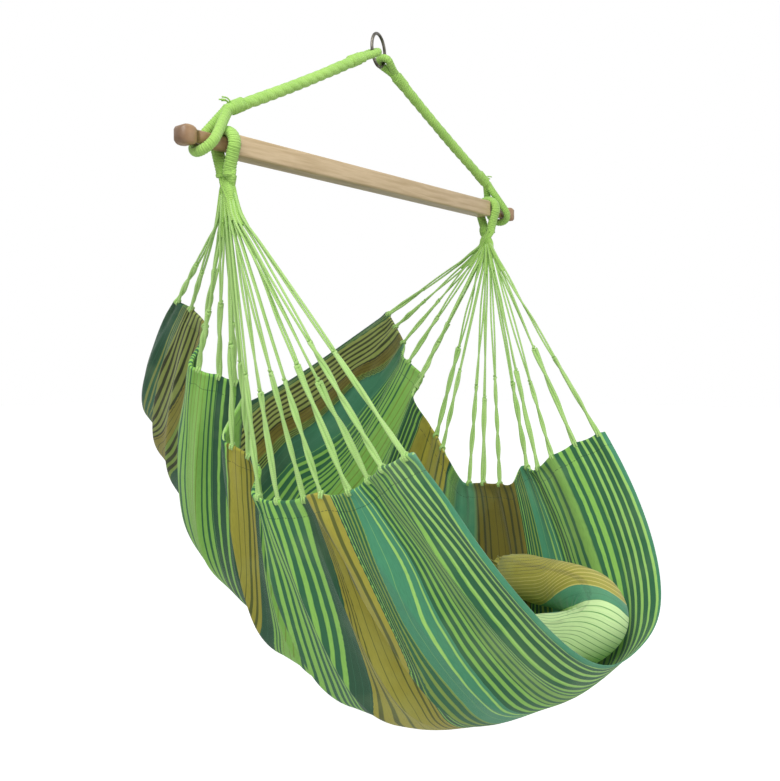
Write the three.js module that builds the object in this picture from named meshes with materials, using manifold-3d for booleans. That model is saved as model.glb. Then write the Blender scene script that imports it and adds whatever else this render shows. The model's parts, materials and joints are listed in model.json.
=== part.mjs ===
// A hammock chair that hangs from one ring: two yoke ropes, a spreader bar, two fans of
// suspension cords and one cloth seat, with a bolster cushion lying in its front corner.
// Millimetres, +Z up. The origin is where the hook bears, at the top of the ring's hole.
// The bar runs along X, and the sitter faces -Y.
import * as THREE from "three";
import { mergeVertices } from "three/addons/utils/BufferGeometryUtils.js";
import Module from "manifold-3d";

// Clearances
const touchGap = 0.3;
const runningGap = 0.8;
const bearingGap = 0.6;
const cutOverrun = 2;

// Hanging ring
const ringOuterDiameter = 78;
const ringWire = 7;
const ringTurn = THREE.MathUtils.degToRad(17);

// Spreader bar
const ringRise = 295;
const barLength = 1100;
const barSide = 40;
const barEdgeRadius = 5;
const barEndChamfer = 2.5;
const knobDiameter = 40;
const neckDiameter = 30;

// Yoke ropes
const ropeDiameter = 24;
const eyeStrand = 17;
const loopOverlapShare = 0.05;
const loopArcSteps = 6;
const ringEyeReach = 40;
const barEyeRise = 66;
const barEyeInset = 48;
const seizingWall = 2;
const seizingLength = 30;

// Harnesses
const harnessInset = 117;
const harnessStrand = 20;
const harnessReach = 60;
const collarWidth = 42;
const collarThickness = 26;
const collarLength = 30;
const collarBellyShare = 0.06;
const collarBellyEndShares = [0.3, 0.7];

// Suspension cords
const cordThin = 4;
const cordThick = 8;
const cordKnot = 11;
const cordKnotLength = 16;
const cordTipLength = 12;
const cordTipDiameter = 4.4;
const cordTipPoint = 1.6;
const cordRowPitch = 5.6;
const cordSpacing = 1.9;
const cordRows = 3;
const cordSides = 8;
const knotPlaceShares = [0.62, 0.56, 0.66, 0.59];

// Where each cord meets the hem, as shares of the way from the hem's front station to its back one
const cordFootShares = [
  0.015, 0.065, 0.115, 0.168, 0.212, 0.341, 0.394, 0.447, 0.571, 0.618, 0.729, 0.765, 0.806, 0.888,
  0.941, 0.988,
];

// Seat cloth
const hemHalfWidth = 351;
const seatFrontReach = 371;
const seatBackReach = 273;
const hemDropLowest = 681;
const lipFrontReach = 600;
const lipFrontDrop = 950;
const seatBottomDrop = 1180;
const seatBottomReach = 130;
const lipBackReach = 690;
const lipBackDrop = 548;
const clothThickness = 4;
const hemCordDiameter = 7;
const hemSlack = 0.8;
const hangRoundness = 2.9;
const lipFullness = 1.35;

// The seat's middle line from its front lip to its back lip, as shares of the reach of the lip on
// that side and of the bottom's drop; its two ends and its lowest point have sizes of their own
const frontSlopeShares = [0.78, 0.9];
const backFootShares = [0.45, 0.88];
const backSlopeShares = [0.84, 0.65];

// Each row is a station along the hem from front to back: the hem's place as shares of its half
// width, of its reach in front of (negative) or behind the bar and of its lowest drop, then the
// share of the cloth's length at which that station lies. Panels and folds alternate.
const hemStationShares = [
  [1.057, -1.0, 0.825, 0.0],
  [1.0, -0.84, 0.865, 0.045],
  [0.925, -0.685, 0.918, 0.085],
  [0.955, -0.563, 0.966, 0.125],
  [1.05, -0.4, 0.962, 0.18],
  [0.93, -0.375, 0.992, 0.22],
  [0.97, -0.25, 1.005, 0.26],
  [1.0, -0.08, 1.012, 0.32],
  [1.03, 0.06, 1.008, 0.39],
  [0.89, 0.13, 0.925, 0.44],
  [0.94, 0.3, 0.86, 0.485],
  [1.02, 0.48, 0.8, 0.54],
  [0.83, 0.44, 0.66, 0.6],
  [0.92, 0.56, 0.625, 0.645],
  [1.05, 0.685, 0.592, 0.7],
  [0.9, 0.73, 0.475, 0.775],
  [0.95, 0.86, 0.43, 0.87],
  [1.0, 1.0, 0.388, 1.0],
];
const clothStepsPerStation = 2;
const clothStepsAcross = 16;

// Cushion
const cushionDiameter = 100;
const cushionNeck = 22;
const cushionWall = 8;
const cushionMouth = 10;
const cushionTieCord = 6;

// The cushion's bent axis from its upper tied end round the bend to its lower one, as shares of the
// hem's half width, of the hem's reach in front of the bar and of the bottom's drop
const cushionAxisShares = [
  [0.672, -0.445, 0.758],
  [0.605, -0.631, 0.765],
  [0.55, -0.809, 0.767],
  [0.505, -0.984, 0.762],
  [0.47, -1.16, 0.759],
  [0.43, -1.32, 0.772],
  [0.37, -1.39, 0.803],
  [0.3, -1.3, 0.84],
  [0.27, -1.11, 0.857],
  [0.28, -0.91, 0.865],
  [0.3, -0.72, 0.871],
];

// The cushion's outline from one end to its middle: the share of its length, then the share of the
// way from its neck's radius to its full one. The first ring is the tuft and the next two the neck.
const cushionSwellShares = [
  [0.0, 0.14],
  [0.02, 0.0],
  [0.036, 0.0],
  [0.056, 0.36],
  [0.08, 0.6],
  [0.115, 0.8],
  [0.155, 0.92],
  [0.2, 0.98],
  [0.25, 1.0],
  [0.3, 1.0],
  [0.345, 0.98],
  [0.38, 0.95],
  [0.41, 0.92],
  [0.44, 0.9],
  [0.47, 0.89],
];
const cushionSides = 18;
const seatingSearch = 80;
const seatingHalvings = 14;

const wasm = await Module();
wasm.setup();

const Y = new THREE.Vector3(0, 1, 0);
const Z = new THREE.Vector3(0, 0, 1);
const vec = (x, y, z) => new THREE.Vector3(x, y, z);

// Materials
const steel = new THREE.MeshStandardMaterial({ color: 0x5a5852, metalness: 0.9, roughness: 0.35 });
const beech = new THREE.MeshStandardMaterial({ color: 0xc6ad82, roughness: 0.55 });
const limeRope = new THREE.MeshStandardMaterial({ color: 0xa4cf63, roughness: 0.85 });
const cloth = new THREE.MeshStandardMaterial({ color: 0x5fa055, roughness: 0.9 });
const cushionCloth = new THREE.MeshStandardMaterial({ color: 0xa9b551, roughness: 0.9 });

// Solids
function toSolid(geometry) {
  const bare = geometry.clone();
  bare.deleteAttribute("normal");
  bare.deleteAttribute("uv");
  const merged = mergeVertices(bare, 1e-4);
  const solid = new wasm.Mesh({
    numProp: 3,
    vertProperties: new Float32Array(merged.attributes.position.array),
    triVerts: new Uint32Array(merged.index.array),
  });
  return new wasm.Manifold(solid);
}

function toGeometry(solid) {
  const mesh = solid.getMesh();
  const geometry = new THREE.BufferGeometry();
  geometry.setAttribute("position", new THREE.BufferAttribute(mesh.vertProperties, 3));
  geometry.setIndex(new THREE.BufferAttribute(mesh.triVerts, 1));
  return geometry;
}

function joined(geometries) {
  const solids = geometries.map(toSolid);
  return toGeometry(solids.reduce((whole, piece) => whole.add(piece)));
}

function cut(geometry, tools) {
  const solids = tools.map(toSolid);
  return toGeometry(solids.reduce((left, tool) => left.subtract(tool), toSolid(geometry)));
}

function placed(name, geometry, material, parent) {
  const mesh = new THREE.Mesh(geometry, material);
  mesh.name = name;
  parent.add(mesh);
  return mesh;
}

// A tube of round section along a curve
function tube(curve, diameter, sides, steps) {
  const corners = [];
  for (let k = 0; k < sides; k++) {
    const angle = (2 * Math.PI * k) / sides;
    corners.push(new THREE.Vector2(Math.cos(angle), Math.sin(angle)).multiplyScalar(diameter / 2));
  }
  return new THREE.ExtrudeGeometry(new THREE.Shape(corners), { steps, extrudePath: curve });
}

// A turned solid whose profile is [radius, height] pairs, standing on its own Y axis
function turned(profile, segments) {
  return new THREE.LatheGeometry(
    profile.map(([radius, height]) => new THREE.Vector2(radius, height)),
    segments,
  );
}

// Turns and moves a mesh so that its own Y axis runs from one point towards another
function aim(mesh, from, to) {
  mesh.position.copy(from);
  mesh.quaternion.setFromUnitVectors(Y, to.clone().sub(from).normalize());
}

// One half of a loop that bears on a round thing at centre and closes at a throat, reach away,
// where it runs straight along away
function loopHalf({ centre, away, across, bearing, reach, throatHalf }, side) {
  const at = (along, sideways) =>
    centre.clone().addScaledVector(away, along).addScaledVector(across, side * sideways);
  const straight = throatHalf;
  const tangentAngle = Math.acos(Math.min(bearing / (reach - straight), 1));
  const points = [reach, reach - straight / 2, reach - straight].map((along) => at(along, throatHalf));
  for (let k = 0; k <= loopArcSteps; k++) {
    const angle = tangentAngle + ((Math.PI - tangentAngle) * k) / loopArcSteps;
    points.push(at(bearing * Math.cos(angle), bearing * Math.sin(angle)));
  }
  const last = points.length - 1;
  points[last].addScaledVector(across, -side * loopOverlapShare * bearing);
  return new THREE.CatmullRomCurve3(points, false, "centripetal");
}

function loopTubes(loop, strand, sides, steps) {
  return [1, -1].map((side) => tube(loopHalf(loop, side), strand, sides, steps));
}

// The chair's frame: the hook bears at the origin
const chair = new THREE.Group();
const ringCentre = vec(0, 0, -(ringOuterDiameter / 2 - ringWire));
const barGroup = new THREE.Group();
barGroup.position.copy(ringCentre).addScaledVector(Z, -ringRise);
chair.add(barGroup);
const ringInBar = vec(0, 0, ringRise);

// Ring
const wireRadius = ringWire / 2;
const ringRadius = ringOuterDiameter / 2 - wireRadius;
const ring = placed("hanging_ring", new THREE.TorusGeometry(ringRadius, wireRadius, 10, 40), steel, chair);
ring.position.copy(ringCentre);
ring.rotation.set(Math.PI / 2, 0, ringTurn, "ZXY");

// Spreader bar: a square bar between two shoulders, with a turned neck and knob beyond each
const harnessX = barLength / 2 - harnessInset;
const shoulderX = harnessX - harnessStrand / 2 - runningGap;
const knobRadius = knobDiameter / 2;
const neckRadius = neckDiameter / 2;

function squareBar() {
  const half = barSide / 2;
  const flat = half - barEdgeRadius;
  const outline = new THREE.Shape();
  outline.absarc(flat, flat, barEdgeRadius, 0, Math.PI / 2);
  outline.absarc(-flat, flat, barEdgeRadius, Math.PI / 2, Math.PI);
  outline.absarc(-flat, -flat, barEdgeRadius, Math.PI, 1.5 * Math.PI);
  outline.absarc(flat, -flat, barEdgeRadius, 1.5 * Math.PI, 2 * Math.PI);
  const depth = 2 * (shoulderX - barEndChamfer);
  const bar = new THREE.ExtrudeGeometry(outline, {
    depth,
    curveSegments: 3,
    bevelThickness: barEndChamfer,
    bevelSize: barEndChamfer,
    bevelOffset: -barEndChamfer,
    bevelSegments: 1,
  });
  return bar.translate(0, 0, -depth / 2).rotateY(Math.PI / 2);
}

function turnedRod() {
  const knobCentre = barLength / 2 - knobRadius;
  const startAngle = Math.asin(neckRadius / knobRadius);
  const knobSteps = 8;
  const half = [];
  for (let k = 0; k <= knobSteps; k++) {
    const angle = Math.PI - startAngle - ((Math.PI - startAngle) * k) / knobSteps;
    half.push([knobRadius * Math.sin(angle), knobCentre + knobRadius * Math.cos(angle)]);
  }
  half[half.length - 1][0] = 0;
  const mirrored = half.map(([radius, height]) => [radius, -height]).reverse();
  return turned([...mirrored, ...half], 24).rotateZ(-Math.PI / 2);
}

placed("spreader_bar", joined([squareBar(), turnedRod()]), beech, barGroup);

// Yoke ropes: an eye through the ring, a shaft, and an eye round the bar's neck
const eyeRadius = eyeStrand / 2;

function ringEye(side) {
  const inRing = vec(side * Math.cos(ringTurn), side * Math.sin(ringTurn), 0);
  const apex = barEyeApex(side);
  const slope = Math.atan2(ringRise - apex.z, Math.abs(apex.x));
  const radial = inRing.multiplyScalar(Math.cos(slope)).addScaledVector(Z, -Math.sin(slope));
  const centre = ringInBar.clone().addScaledVector(radial, ringRadius);
  const away = apex.clone().sub(centre).normalize();
  const axis = vec(-Math.sin(ringTurn), Math.cos(ringTurn), 0);
  const across = axis.addScaledVector(away, -axis.dot(away)).normalize();
  return {
    centre,
    away,
    across,
    bearing: wireRadius + bearingGap + eyeRadius,
    reach: ringEyeReach,
    throatHalf: ropeDiameter / 2 - eyeRadius,
  };
}

function barEyeApex(side) {
  return vec(side * (harnessX + touchGap), 0, barEyeRise);
}

function barEye(side) {
  const apex = barEyeApex(side);
  const bottom = vec(side * (barLength / 2 - barEyeInset), 0, -(neckRadius + runningGap + eyeRadius));
  const away = apex.clone().sub(bottom).normalize();
  const tilt = Math.abs(away.x) / away.z;
  const leanAllowance = (eyeRadius * tilt ** 2) / 2;
  const bearing = neckRadius + runningGap + eyeRadius + leanAllowance;
  const centre = bottom.clone().addScaledVector(away, bearing);
  return {
    centre,
    away,
    across: Y.clone(),
    bearing,
    reach: apex.distanceTo(centre),
    throatHalf: ropeDiameter / 2 - eyeRadius,
  };
}

function throatOf(loop) {
  return loop.centre.clone().addScaledVector(loop.away, loop.reach);
}

function yokeRope(side) {
  const upper = ringEye(side);
  const lower = barEye(side);
  const shaft = new THREE.LineCurve3(throatOf(upper), throatOf(lower));
  return joined([
    tube(shaft, ropeDiameter, 12, 1),
    ...loopTubes(upper, eyeStrand, 10, 12),
    ...loopTubes(lower, eyeStrand, 10, 14),
    new THREE.IcosahedronGeometry(ropeDiameter / 2, 1).translate(...throatOf(upper)),
    new THREE.IcosahedronGeometry(ropeDiameter / 2, 1).translate(...throatOf(lower)),
  ]);
}

// A seizing band round the rope, with its near end at a distance from a throat
function seizing(name, from, to, distance) {
  const bore = ropeDiameter / 2 + touchGap;
  const outer = bore + seizingWall;
  const profile = [
    [bore, 0],
    [outer, 0],
    [outer, seizingLength],
    [bore, seizingLength],
    [bore, 0],
  ];
  const mesh = placed(name, turned(profile, 16), limeRope, barGroup);
  const along = to.clone().sub(from).normalize();
  aim(mesh, from.clone().addScaledVector(along, distance), to);
}

for (const [label, side] of [["left", -1], ["right", 1]]) {
  placed("yoke_rope_" + label, yokeRope(side), limeRope, barGroup);
  const top = throatOf(ringEye(side));
  const foot = throatOf(barEye(side));
  seizing("ring_seizing_" + label, top, foot, ropeDiameter / 2);
  seizing("bar_seizing_" + label, foot, top, ropeDiameter / 2);
}

// Seat curves, in the bar's frame
const clothRows = (hemStationShares.length - 1) * clothStepsPerStation;

function hemPoints() {
  const stations = hemStationShares.map(([xShare, yShare, zShare]) => {
    const reach = yShare < 0 ? seatFrontReach : seatBackReach;
    return vec(xShare * hemHalfWidth, yShare * reach, -zShare * hemDropLowest);
  });
  return new THREE.CatmullRomCurve3(stations, false, "centripetal").getPoints(clothRows);
}

// Where each row of the cloth lies along its length, from 0 at the front lip to 1 at the back lip
function lengthShares() {
  const last = hemStationShares.length - 1;
  const knots = hemStationShares.map((row, k) => new THREE.Vector2(k / last, row[3]));
  const shares = new THREE.SplineCurve(knots).getPoints(clothRows).map((knot) => knot.y);
  return shares.map((share) => THREE.MathUtils.clamp(share, 0, 1));
}

// A curve through points, with one straight step from each to the next
class SteppedCurve extends THREE.Curve {
  constructor(points) {
    super();
    this.points = points;
  }

  getPoint(t, target = new THREE.Vector3()) {
    const place = t * (this.points.length - 1);
    const k = Math.min(Math.floor(place), this.points.length - 2);
    return target.lerpVectors(this.points[k], this.points[k + 1], place - k);
  }

  getUtoTmapping(u) {
    return u;
  }
}

const hem = hemPoints();
const centreCurve = new THREE.CatmullRomCurve3(
  [
    vec(0, -lipFrontReach, -lipFrontDrop),
    vec(0, -frontSlopeShares[0] * lipFrontReach, -frontSlopeShares[1] * seatBottomDrop),
    vec(0, -seatBottomReach, -seatBottomDrop),
    vec(0, backFootShares[0] * lipBackReach, -backFootShares[1] * seatBottomDrop),
    vec(0, backSlopeShares[0] * lipBackReach, -backSlopeShares[1] * seatBottomDrop),
    vec(0, lipBackReach, -lipBackDrop),
  ],
  false,
  "centripetal",
);

// One thread of the cloth, hanging from the left hem through the middle to the right hem. Near the
// front lip it stays forward for longer as it rises.
class StripeCurve extends THREE.Curve {
  constructor(hem, centre, share) {
    super();
    this.hem = hem;
    this.centre = centre;
    this.fullness = THREE.MathUtils.lerp(lipFullness, 1, share);
  }

  getPoint(t, target = new THREE.Vector3()) {
    const across = 2 * t - 1;
    const rise = (Math.cosh(hangRoundness * across) - 1) / (Math.cosh(hangRoundness) - 1);
    const forward = THREE.MathUtils.lerp(this.centre.y, this.hem.y, rise ** this.fullness);
    return target.set(
      this.hem.x * across,
      forward,
      THREE.MathUtils.lerp(this.centre.z, this.hem.z, rise),
    );
  }
}

// Seat cloth: a thin shell over a grid of points, stripe by stripe. Each stripe stops clear of the
// hem cord, further along it where the hem runs at a slant to the stripe.
function clothGrid() {
  const clear = hemCordDiameter / 2 + hemSlack;
  const shares = lengthShares();
  return hem.map((point, i) => {
    const stripe = new StripeCurve(point, centreCurve.getPointAt(shares[i]), shares[i]);
    const along = stripe.getTangent(1);
    const slants = [hem[i - 1], hem[i + 1]].filter(Boolean).map((next) => {
      const step = next.clone().sub(point).normalize();
      return step.cross(along).length();
    });
    const trim = clear / Math.min(...slants) / stripe.getLength();
    const row = [];
    for (let j = 0; j <= clothStepsAcross; j++) {
      row.push(stripe.getPointAt(trim + ((1 - 2 * trim) * j) / clothStepsAcross));
    }
    return row;
  });
}

function shell(grid, thickness) {
  const rows = grid.length;
  const columns = grid[0].length;
  const positions = [];
  for (const face of [1, -1]) {
    for (let i = 0; i < rows; i++) {
      for (let j = 0; j < columns; j++) {
        const down = grid[Math.min(i + 1, rows - 1)][j].clone().sub(grid[Math.max(i - 1, 0)][j]);
        const over = grid[i][Math.min(j + 1, columns - 1)].clone().sub(grid[i][Math.max(j - 1, 0)]);
        const normal = over.cross(down).normalize();
        positions.push(...grid[i][j].clone().addScaledVector(normal, (face * thickness) / 2));
      }
    }
  }
  const at = (face, i, j) => face * rows * columns + i * columns + j;
  const index = [];
  const quad = (a, b, c, d) => index.push(a, b, c, a, c, d);
  for (let i = 0; i < rows - 1; i++) {
    for (let j = 0; j < columns - 1; j++) {
      quad(at(0, i, j), at(0, i, j + 1), at(0, i + 1, j + 1), at(0, i + 1, j));
      quad(at(1, i, j), at(1, i + 1, j), at(1, i + 1, j + 1), at(1, i, j + 1));
    }
  }
  const last = rows - 1;
  const end = columns - 1;
  for (let j = 0; j < end; j++) {
    quad(at(0, 0, j), at(1, 0, j), at(1, 0, j + 1), at(0, 0, j + 1));
    quad(at(0, last, j), at(0, last, j + 1), at(1, last, j + 1), at(1, last, j));
  }
  for (let i = 0; i < last; i++) {
    quad(at(0, i, 0), at(0, i + 1, 0), at(1, i + 1, 0), at(1, i, 0));
    quad(at(0, i, end), at(1, i, end), at(1, i + 1, end), at(0, i + 1, end));
  }
  const geometry = new THREE.BufferGeometry();
  geometry.setAttribute("position", new THREE.Float32BufferAttribute(positions, 3));
  geometry.setIndex(index);
  return geometry;
}

function hemCordCurve(side) {
  return new SteppedCurve(hem.map((point) => point.clone().multiply(vec(side, 1, 1))));
}

const hemClear = [1, -1].map((side) =>
  tube(hemCordCurve(side), hemCordDiameter + 2 * touchGap, 8, clothRows),
);
const clothShell = cut(shell(clothGrid(), clothThickness), hemClear);
const seatCloth = placed("seat_cloth", clothShell, cloth, barGroup);

// Harness: a loop round the neck, a collar that gathers it, and the fan of cords to the hem
const collarTop = -harnessReach - touchGap;
const collarFoot = collarTop - collarLength;

function harnessLoop(side) {
  const strandRadius = harnessStrand / 2;
  const loop = {
    centre: vec(side * harnessX, 0, 0),
    away: Z.clone().negate(),
    across: Y.clone(),
    bearing: neckRadius + runningGap + strandRadius,
    reach: harnessReach,
    throatHalf: strandRadius + touchGap / 2,
  };
  return joined(loopTubes(loop, harnessStrand, 10, 12));
}

function collar() {
  const belly = collarBellyShare * collarWidth;
  const [bellyFoot, bellyTop] = collarBellyEndShares;
  const radius = collarWidth / 2 - belly;
  const profile = [
    [0, collarFoot],
    [radius, collarFoot],
    [radius + belly, collarFoot + bellyFoot * collarLength],
    [radius + belly, collarFoot + bellyTop * collarLength],
    [radius, collarTop],
    [0, collarTop],
  ];
  const geometry = turned(profile, 16).rotateX(Math.PI / 2);
  return geometry.scale(collarThickness / collarWidth, 1, 1);
}

function suspensionCord(length, knotShare) {
  const thin = cordThin / 2;
  const thick = cordThick / 2;
  const knotAt = knotShare * length;
  return turned(
    [
      [0, 0],
      [thin, 0],
      [thin, knotAt - cordKnotLength / 2],
      [cordKnot / 2, knotAt],
      [thick, knotAt + cordKnotLength / 2],
      [thick, length - cordTipLength],
      [cordTipDiameter / 2, length - cordTipPoint],
      [0, length],
    ],
    cordSides,
  );
}

function cordPlace(side, k) {
  const foot = hemCordCurve(side).getPoint(cordFootShares[k]);
  const row = (k % cordRows) - (cordRows - 1) / 2;
  const start = vec(
    side * (harnessX + row * cordRowPitch),
    (k - (cordFootShares.length - 1) / 2) * cordSpacing,
    collarFoot - touchGap,
  );
  const lean = start.clone().sub(foot).normalize().cross(Z).length();
  start.z -= (lean * cordThin) / 2;
  const reach = start.distanceTo(foot) - hemCordDiameter / 2 - hemSlack;
  return { start, foot, reach };
}

for (const [label, side] of [["left", -1], ["right", 1]]) {
  placed("harness_loop_" + label, harnessLoop(side), limeRope, barGroup);
  const gather = placed("harness_seizing_" + label, collar(), limeRope, barGroup);
  gather.position.x = side * harnessX;
  for (let k = 0; k < cordFootShares.length; k++) {
    const { start, foot, reach } = cordPlace(side, k);
    const knotShare = knotPlaceShares[k % knotPlaceShares.length];
    const name = "suspension_cord_" + label + "_" + String(k + 1).padStart(2, "0");
    aim(placed(name, suspensionCord(reach, knotShare), limeRope, barGroup), start, foot);
  }
  const hemCord = tube(hemCordCurve(side), hemCordDiameter, 8, clothRows);
  placed("hem_cord_" + label, hemCord, limeRope, barGroup);
}

// Cushion: a soft bolster, drawn in and tied at both ends, folded into the seat's front corner. Its
// thick cover is hollow, because its light filling weighs next to nothing.
function cushionRings() {
  const half = cushionSwellShares.map(([share, swell]) => {
    return { share, radius: THREE.MathUtils.lerp(cushionNeck / 2, cushionDiameter / 2, swell) };
  });
  const mirrored = half.map(({ share, radius }) => ({ share: 1 - share, radius })).reverse();
  return [...half, ...mirrored];
}

// The hollow inside the cover: open at the upper end's mouth and closed at the lower neck
function cushionHollowRings() {
  const lowerNeck = 1 - cushionSwellShares[2][0];
  const inner = cushionRings()
    .filter(({ share }) => share <= lowerNeck)
    .map(({ share, radius }) => ({ share, radius: Math.max(radius - cushionWall, cushionMouth / 2) }));
  inner[0] = { share: 0, radius: cushionMouth / 2, before: cutOverrun };
  return inner;
}

function cushionAxis() {
  const points = cushionAxisShares.map(([xShare, yShare, zShare]) =>
    vec(xShare * hemHalfWidth, yShare * seatFrontReach, -zShare * seatBottomDrop),
  );
  return new THREE.CatmullRomCurve3(points, false, "centripetal");
}

// A solid of round rings along a curve, each turned the same way from a direction across the curve.
// A ring may lie a length before its place on the curve.
function loft(curve, rings, across, sides) {
  const positions = [];
  const centres = [];
  for (const { share, radius, before = 0 } of rings) {
    const tangent = curve.getTangentAt(share);
    const centre = curve.getPointAt(share).addScaledVector(tangent, -before);
    centres.push(centre);
    const first = across.clone().addScaledVector(tangent, -across.dot(tangent)).normalize();
    const second = tangent.clone().cross(first);
    for (let k = 0; k < sides; k++) {
      const angle = (2 * Math.PI * k) / sides;
      const spoke = first.clone().multiplyScalar(Math.cos(angle)).addScaledVector(second, Math.sin(angle));
      positions.push(...centre.clone().addScaledVector(spoke, radius));
    }
  }
  positions.push(...centres[0], ...centres[centres.length - 1]);
  const last = rings.length - 1;
  const firstCentre = rings.length * sides;
  const index = [];
  for (let k = 0; k < sides; k++) {
    const next = (k + 1) % sides;
    for (let i = 0; i < last; i++) {
      const a = i * sides + k;
      const b = i * sides + next;
      index.push(a, b, b + sides, a, b + sides, a + sides);
    }
    index.push(firstCentre, next, k);
    index.push(firstCentre + 1, last * sides + k, last * sides + next);
  }
  const geometry = new THREE.BufferGeometry();
  geometry.setAttribute("position", new THREE.Float32BufferAttribute(positions, 3));
  geometry.setIndex(index);
  return geometry;
}

// How far a solid slides along a direction before it lies a gap from what carries it
function slideToSeat(solid, carrier, direction, gap) {
  let clear = -seatingSearch;
  let blocked = seatingSearch;
  for (let k = 0; k < seatingHalvings; k++) {
    const middle = (clear + blocked) / 2;
    const moved = solid.translate(direction.clone().multiplyScalar(middle).toArray());
    if (moved.minGap(carrier, 2 * gap) > gap) {
      clear = middle;
    } else {
      blocked = middle;
    }
  }
  return clear;
}

const axis = cushionAxis();
const upperLimb = axis.getPointAt(0).sub(axis.getPointAt(0.5));
const lowerLimb = axis.getPointAt(1).sub(axis.getPointAt(0.5));
const bendPlane = upperLimb.cross(lowerLimb).normalize();
const bolster = cut(loft(axis, cushionRings(), bendPlane, cushionSides), [
  loft(axis, cushionHollowRings(), bendPlane, cushionSides),
]);
const seatingWay = vec(1, 0, -1).normalize();
const cushionGroup = new THREE.Group();
const seating = slideToSeat(toSolid(bolster), toSolid(seatCloth.geometry), seatingWay, touchGap);
cushionGroup.position.copy(seatingWay).multiplyScalar(seating);
barGroup.add(cushionGroup);
placed("cushion", bolster, cushionCloth, cushionGroup);

const tieShare = (cushionSwellShares[1][0] + cushionSwellShares[2][0]) / 2;
for (const [label, share] of [["upper", tieShare], ["lower", 1 - tieShare]]) {
  const tieRadius = cushionNeck / 2 + touchGap + cushionTieCord / 2;
  const torus = new THREE.TorusGeometry(tieRadius, cushionTieCord / 2, 8, 20).rotateX(Math.PI / 2);
  const tie = placed("cushion_tie_" + label, torus, limeRope, cushionGroup);
  const place = axis.getPointAt(share);
  aim(tie, place, place.clone().add(axis.getTangentAt(share)));
}

export default chair;
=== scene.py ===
# Looks of a hammock chair: a striped cloth seat on two fans of cords, a wooden spreader bar, a rope
# yoke with its steel ring, and a bolster cushion. Metres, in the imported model's own frame.
import json
import math

import bpy
import numpy as np
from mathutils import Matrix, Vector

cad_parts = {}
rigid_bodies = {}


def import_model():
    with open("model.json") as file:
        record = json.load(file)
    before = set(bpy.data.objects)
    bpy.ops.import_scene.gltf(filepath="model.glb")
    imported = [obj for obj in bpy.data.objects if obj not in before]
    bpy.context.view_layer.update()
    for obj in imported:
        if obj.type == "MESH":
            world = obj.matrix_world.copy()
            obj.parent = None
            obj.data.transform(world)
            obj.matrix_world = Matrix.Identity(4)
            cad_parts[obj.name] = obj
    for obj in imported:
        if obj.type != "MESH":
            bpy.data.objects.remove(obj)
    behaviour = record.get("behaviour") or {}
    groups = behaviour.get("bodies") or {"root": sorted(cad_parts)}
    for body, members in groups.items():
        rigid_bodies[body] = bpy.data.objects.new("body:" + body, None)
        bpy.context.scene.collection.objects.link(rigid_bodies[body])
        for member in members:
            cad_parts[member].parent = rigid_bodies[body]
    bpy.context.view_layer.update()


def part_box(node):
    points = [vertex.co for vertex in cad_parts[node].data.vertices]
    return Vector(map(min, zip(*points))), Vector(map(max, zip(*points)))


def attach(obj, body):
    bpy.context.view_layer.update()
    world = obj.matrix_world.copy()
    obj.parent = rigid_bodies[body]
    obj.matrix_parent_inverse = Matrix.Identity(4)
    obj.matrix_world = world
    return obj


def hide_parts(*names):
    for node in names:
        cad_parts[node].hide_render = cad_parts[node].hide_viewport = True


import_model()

X = np.array([1.0, 0.0, 0.0])
Y = np.array([0.0, 1.0, 0.0])
Z = np.array([0.0, 0.0, 1.0])


def added(name, data):
    """A new object in the scene."""
    made = bpy.data.objects.new(name, data)
    bpy.context.scene.collection.objects.link(made)
    return made


# Camera
CAMERA_PLACE = (-1.5364, -1.3230, -0.7543)
CAMERA_PITCH = 88.9287
CAMERA_HEADING = -50.0
CAMERA_LENS = 41.54

camera = added("camera", bpy.data.cameras.new("camera"))
camera.location = CAMERA_PLACE
camera.rotation_euler = (math.radians(CAMERA_PITCH), 0.0, math.radians(CAMERA_HEADING))
camera.data.sensor_width = 36.0
camera.data.lens = CAMERA_LENS
camera.data.clip_start = 0.05
bpy.context.scene.camera = camera

# Sizes shared with the solids
BAR_CENTRE = np.array([0.0, 0.0, -0.327])
RING_RISE = 0.295
RING_RADIUS = 0.0355
RING_WIRE = 0.0035
RING_TURN = math.radians(17)
BAR_HALF = 0.55
BAR_SIDE = 0.04
BAR_EDGE = 0.005
KNOB_RADIUS = 0.02
NECK_RADIUS = 0.015
HARNESS_X = 0.433
HARNESS_STRAND = 0.02
HARNESS_REACH = 0.06
COLLAR_TOP = -0.0603
COLLAR_FOOT = -0.0903
ROPE_RADIUS = 0.012
EYE_RADIUS = 0.0085
TOUCH = 0.0003
RUNNING = 0.0008
BEARING_GAP = 0.0006
RING_EYE_REACH = 0.04
BAR_EYE_RISE = 0.066
BAR_EYE_INSET = 0.048
SHOULDER_X = HARNESS_X - HARNESS_STRAND / 2 - RUNNING

CORDS = 16
CORD_THIN = 0.004
CORD_ROWS = 3
CORD_ROW_PITCH = 0.0056
CORD_SPACING = 0.0019
FAN_DROP = 0.044
FAN_OPEN = {-1: 0.48, 1: 0.85}
HEM_CORD = 0.007
KNOT_PLACES = (0.62, 0.56, 0.66, 0.59)
FOOT_SHARES = (
    0.015, 0.065, 0.115, 0.168, 0.212, 0.341, 0.394, 0.447,
    0.571, 0.618, 0.729, 0.765, 0.806, 0.888, 0.941, 0.988,
)

HEM_HALF_WIDTH = 0.351
HEM_FRONT = 0.371
HEM_BACK = 0.273
HEM_DROP = 0.681
CLOTH_LENGTH = 1.6
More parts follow.
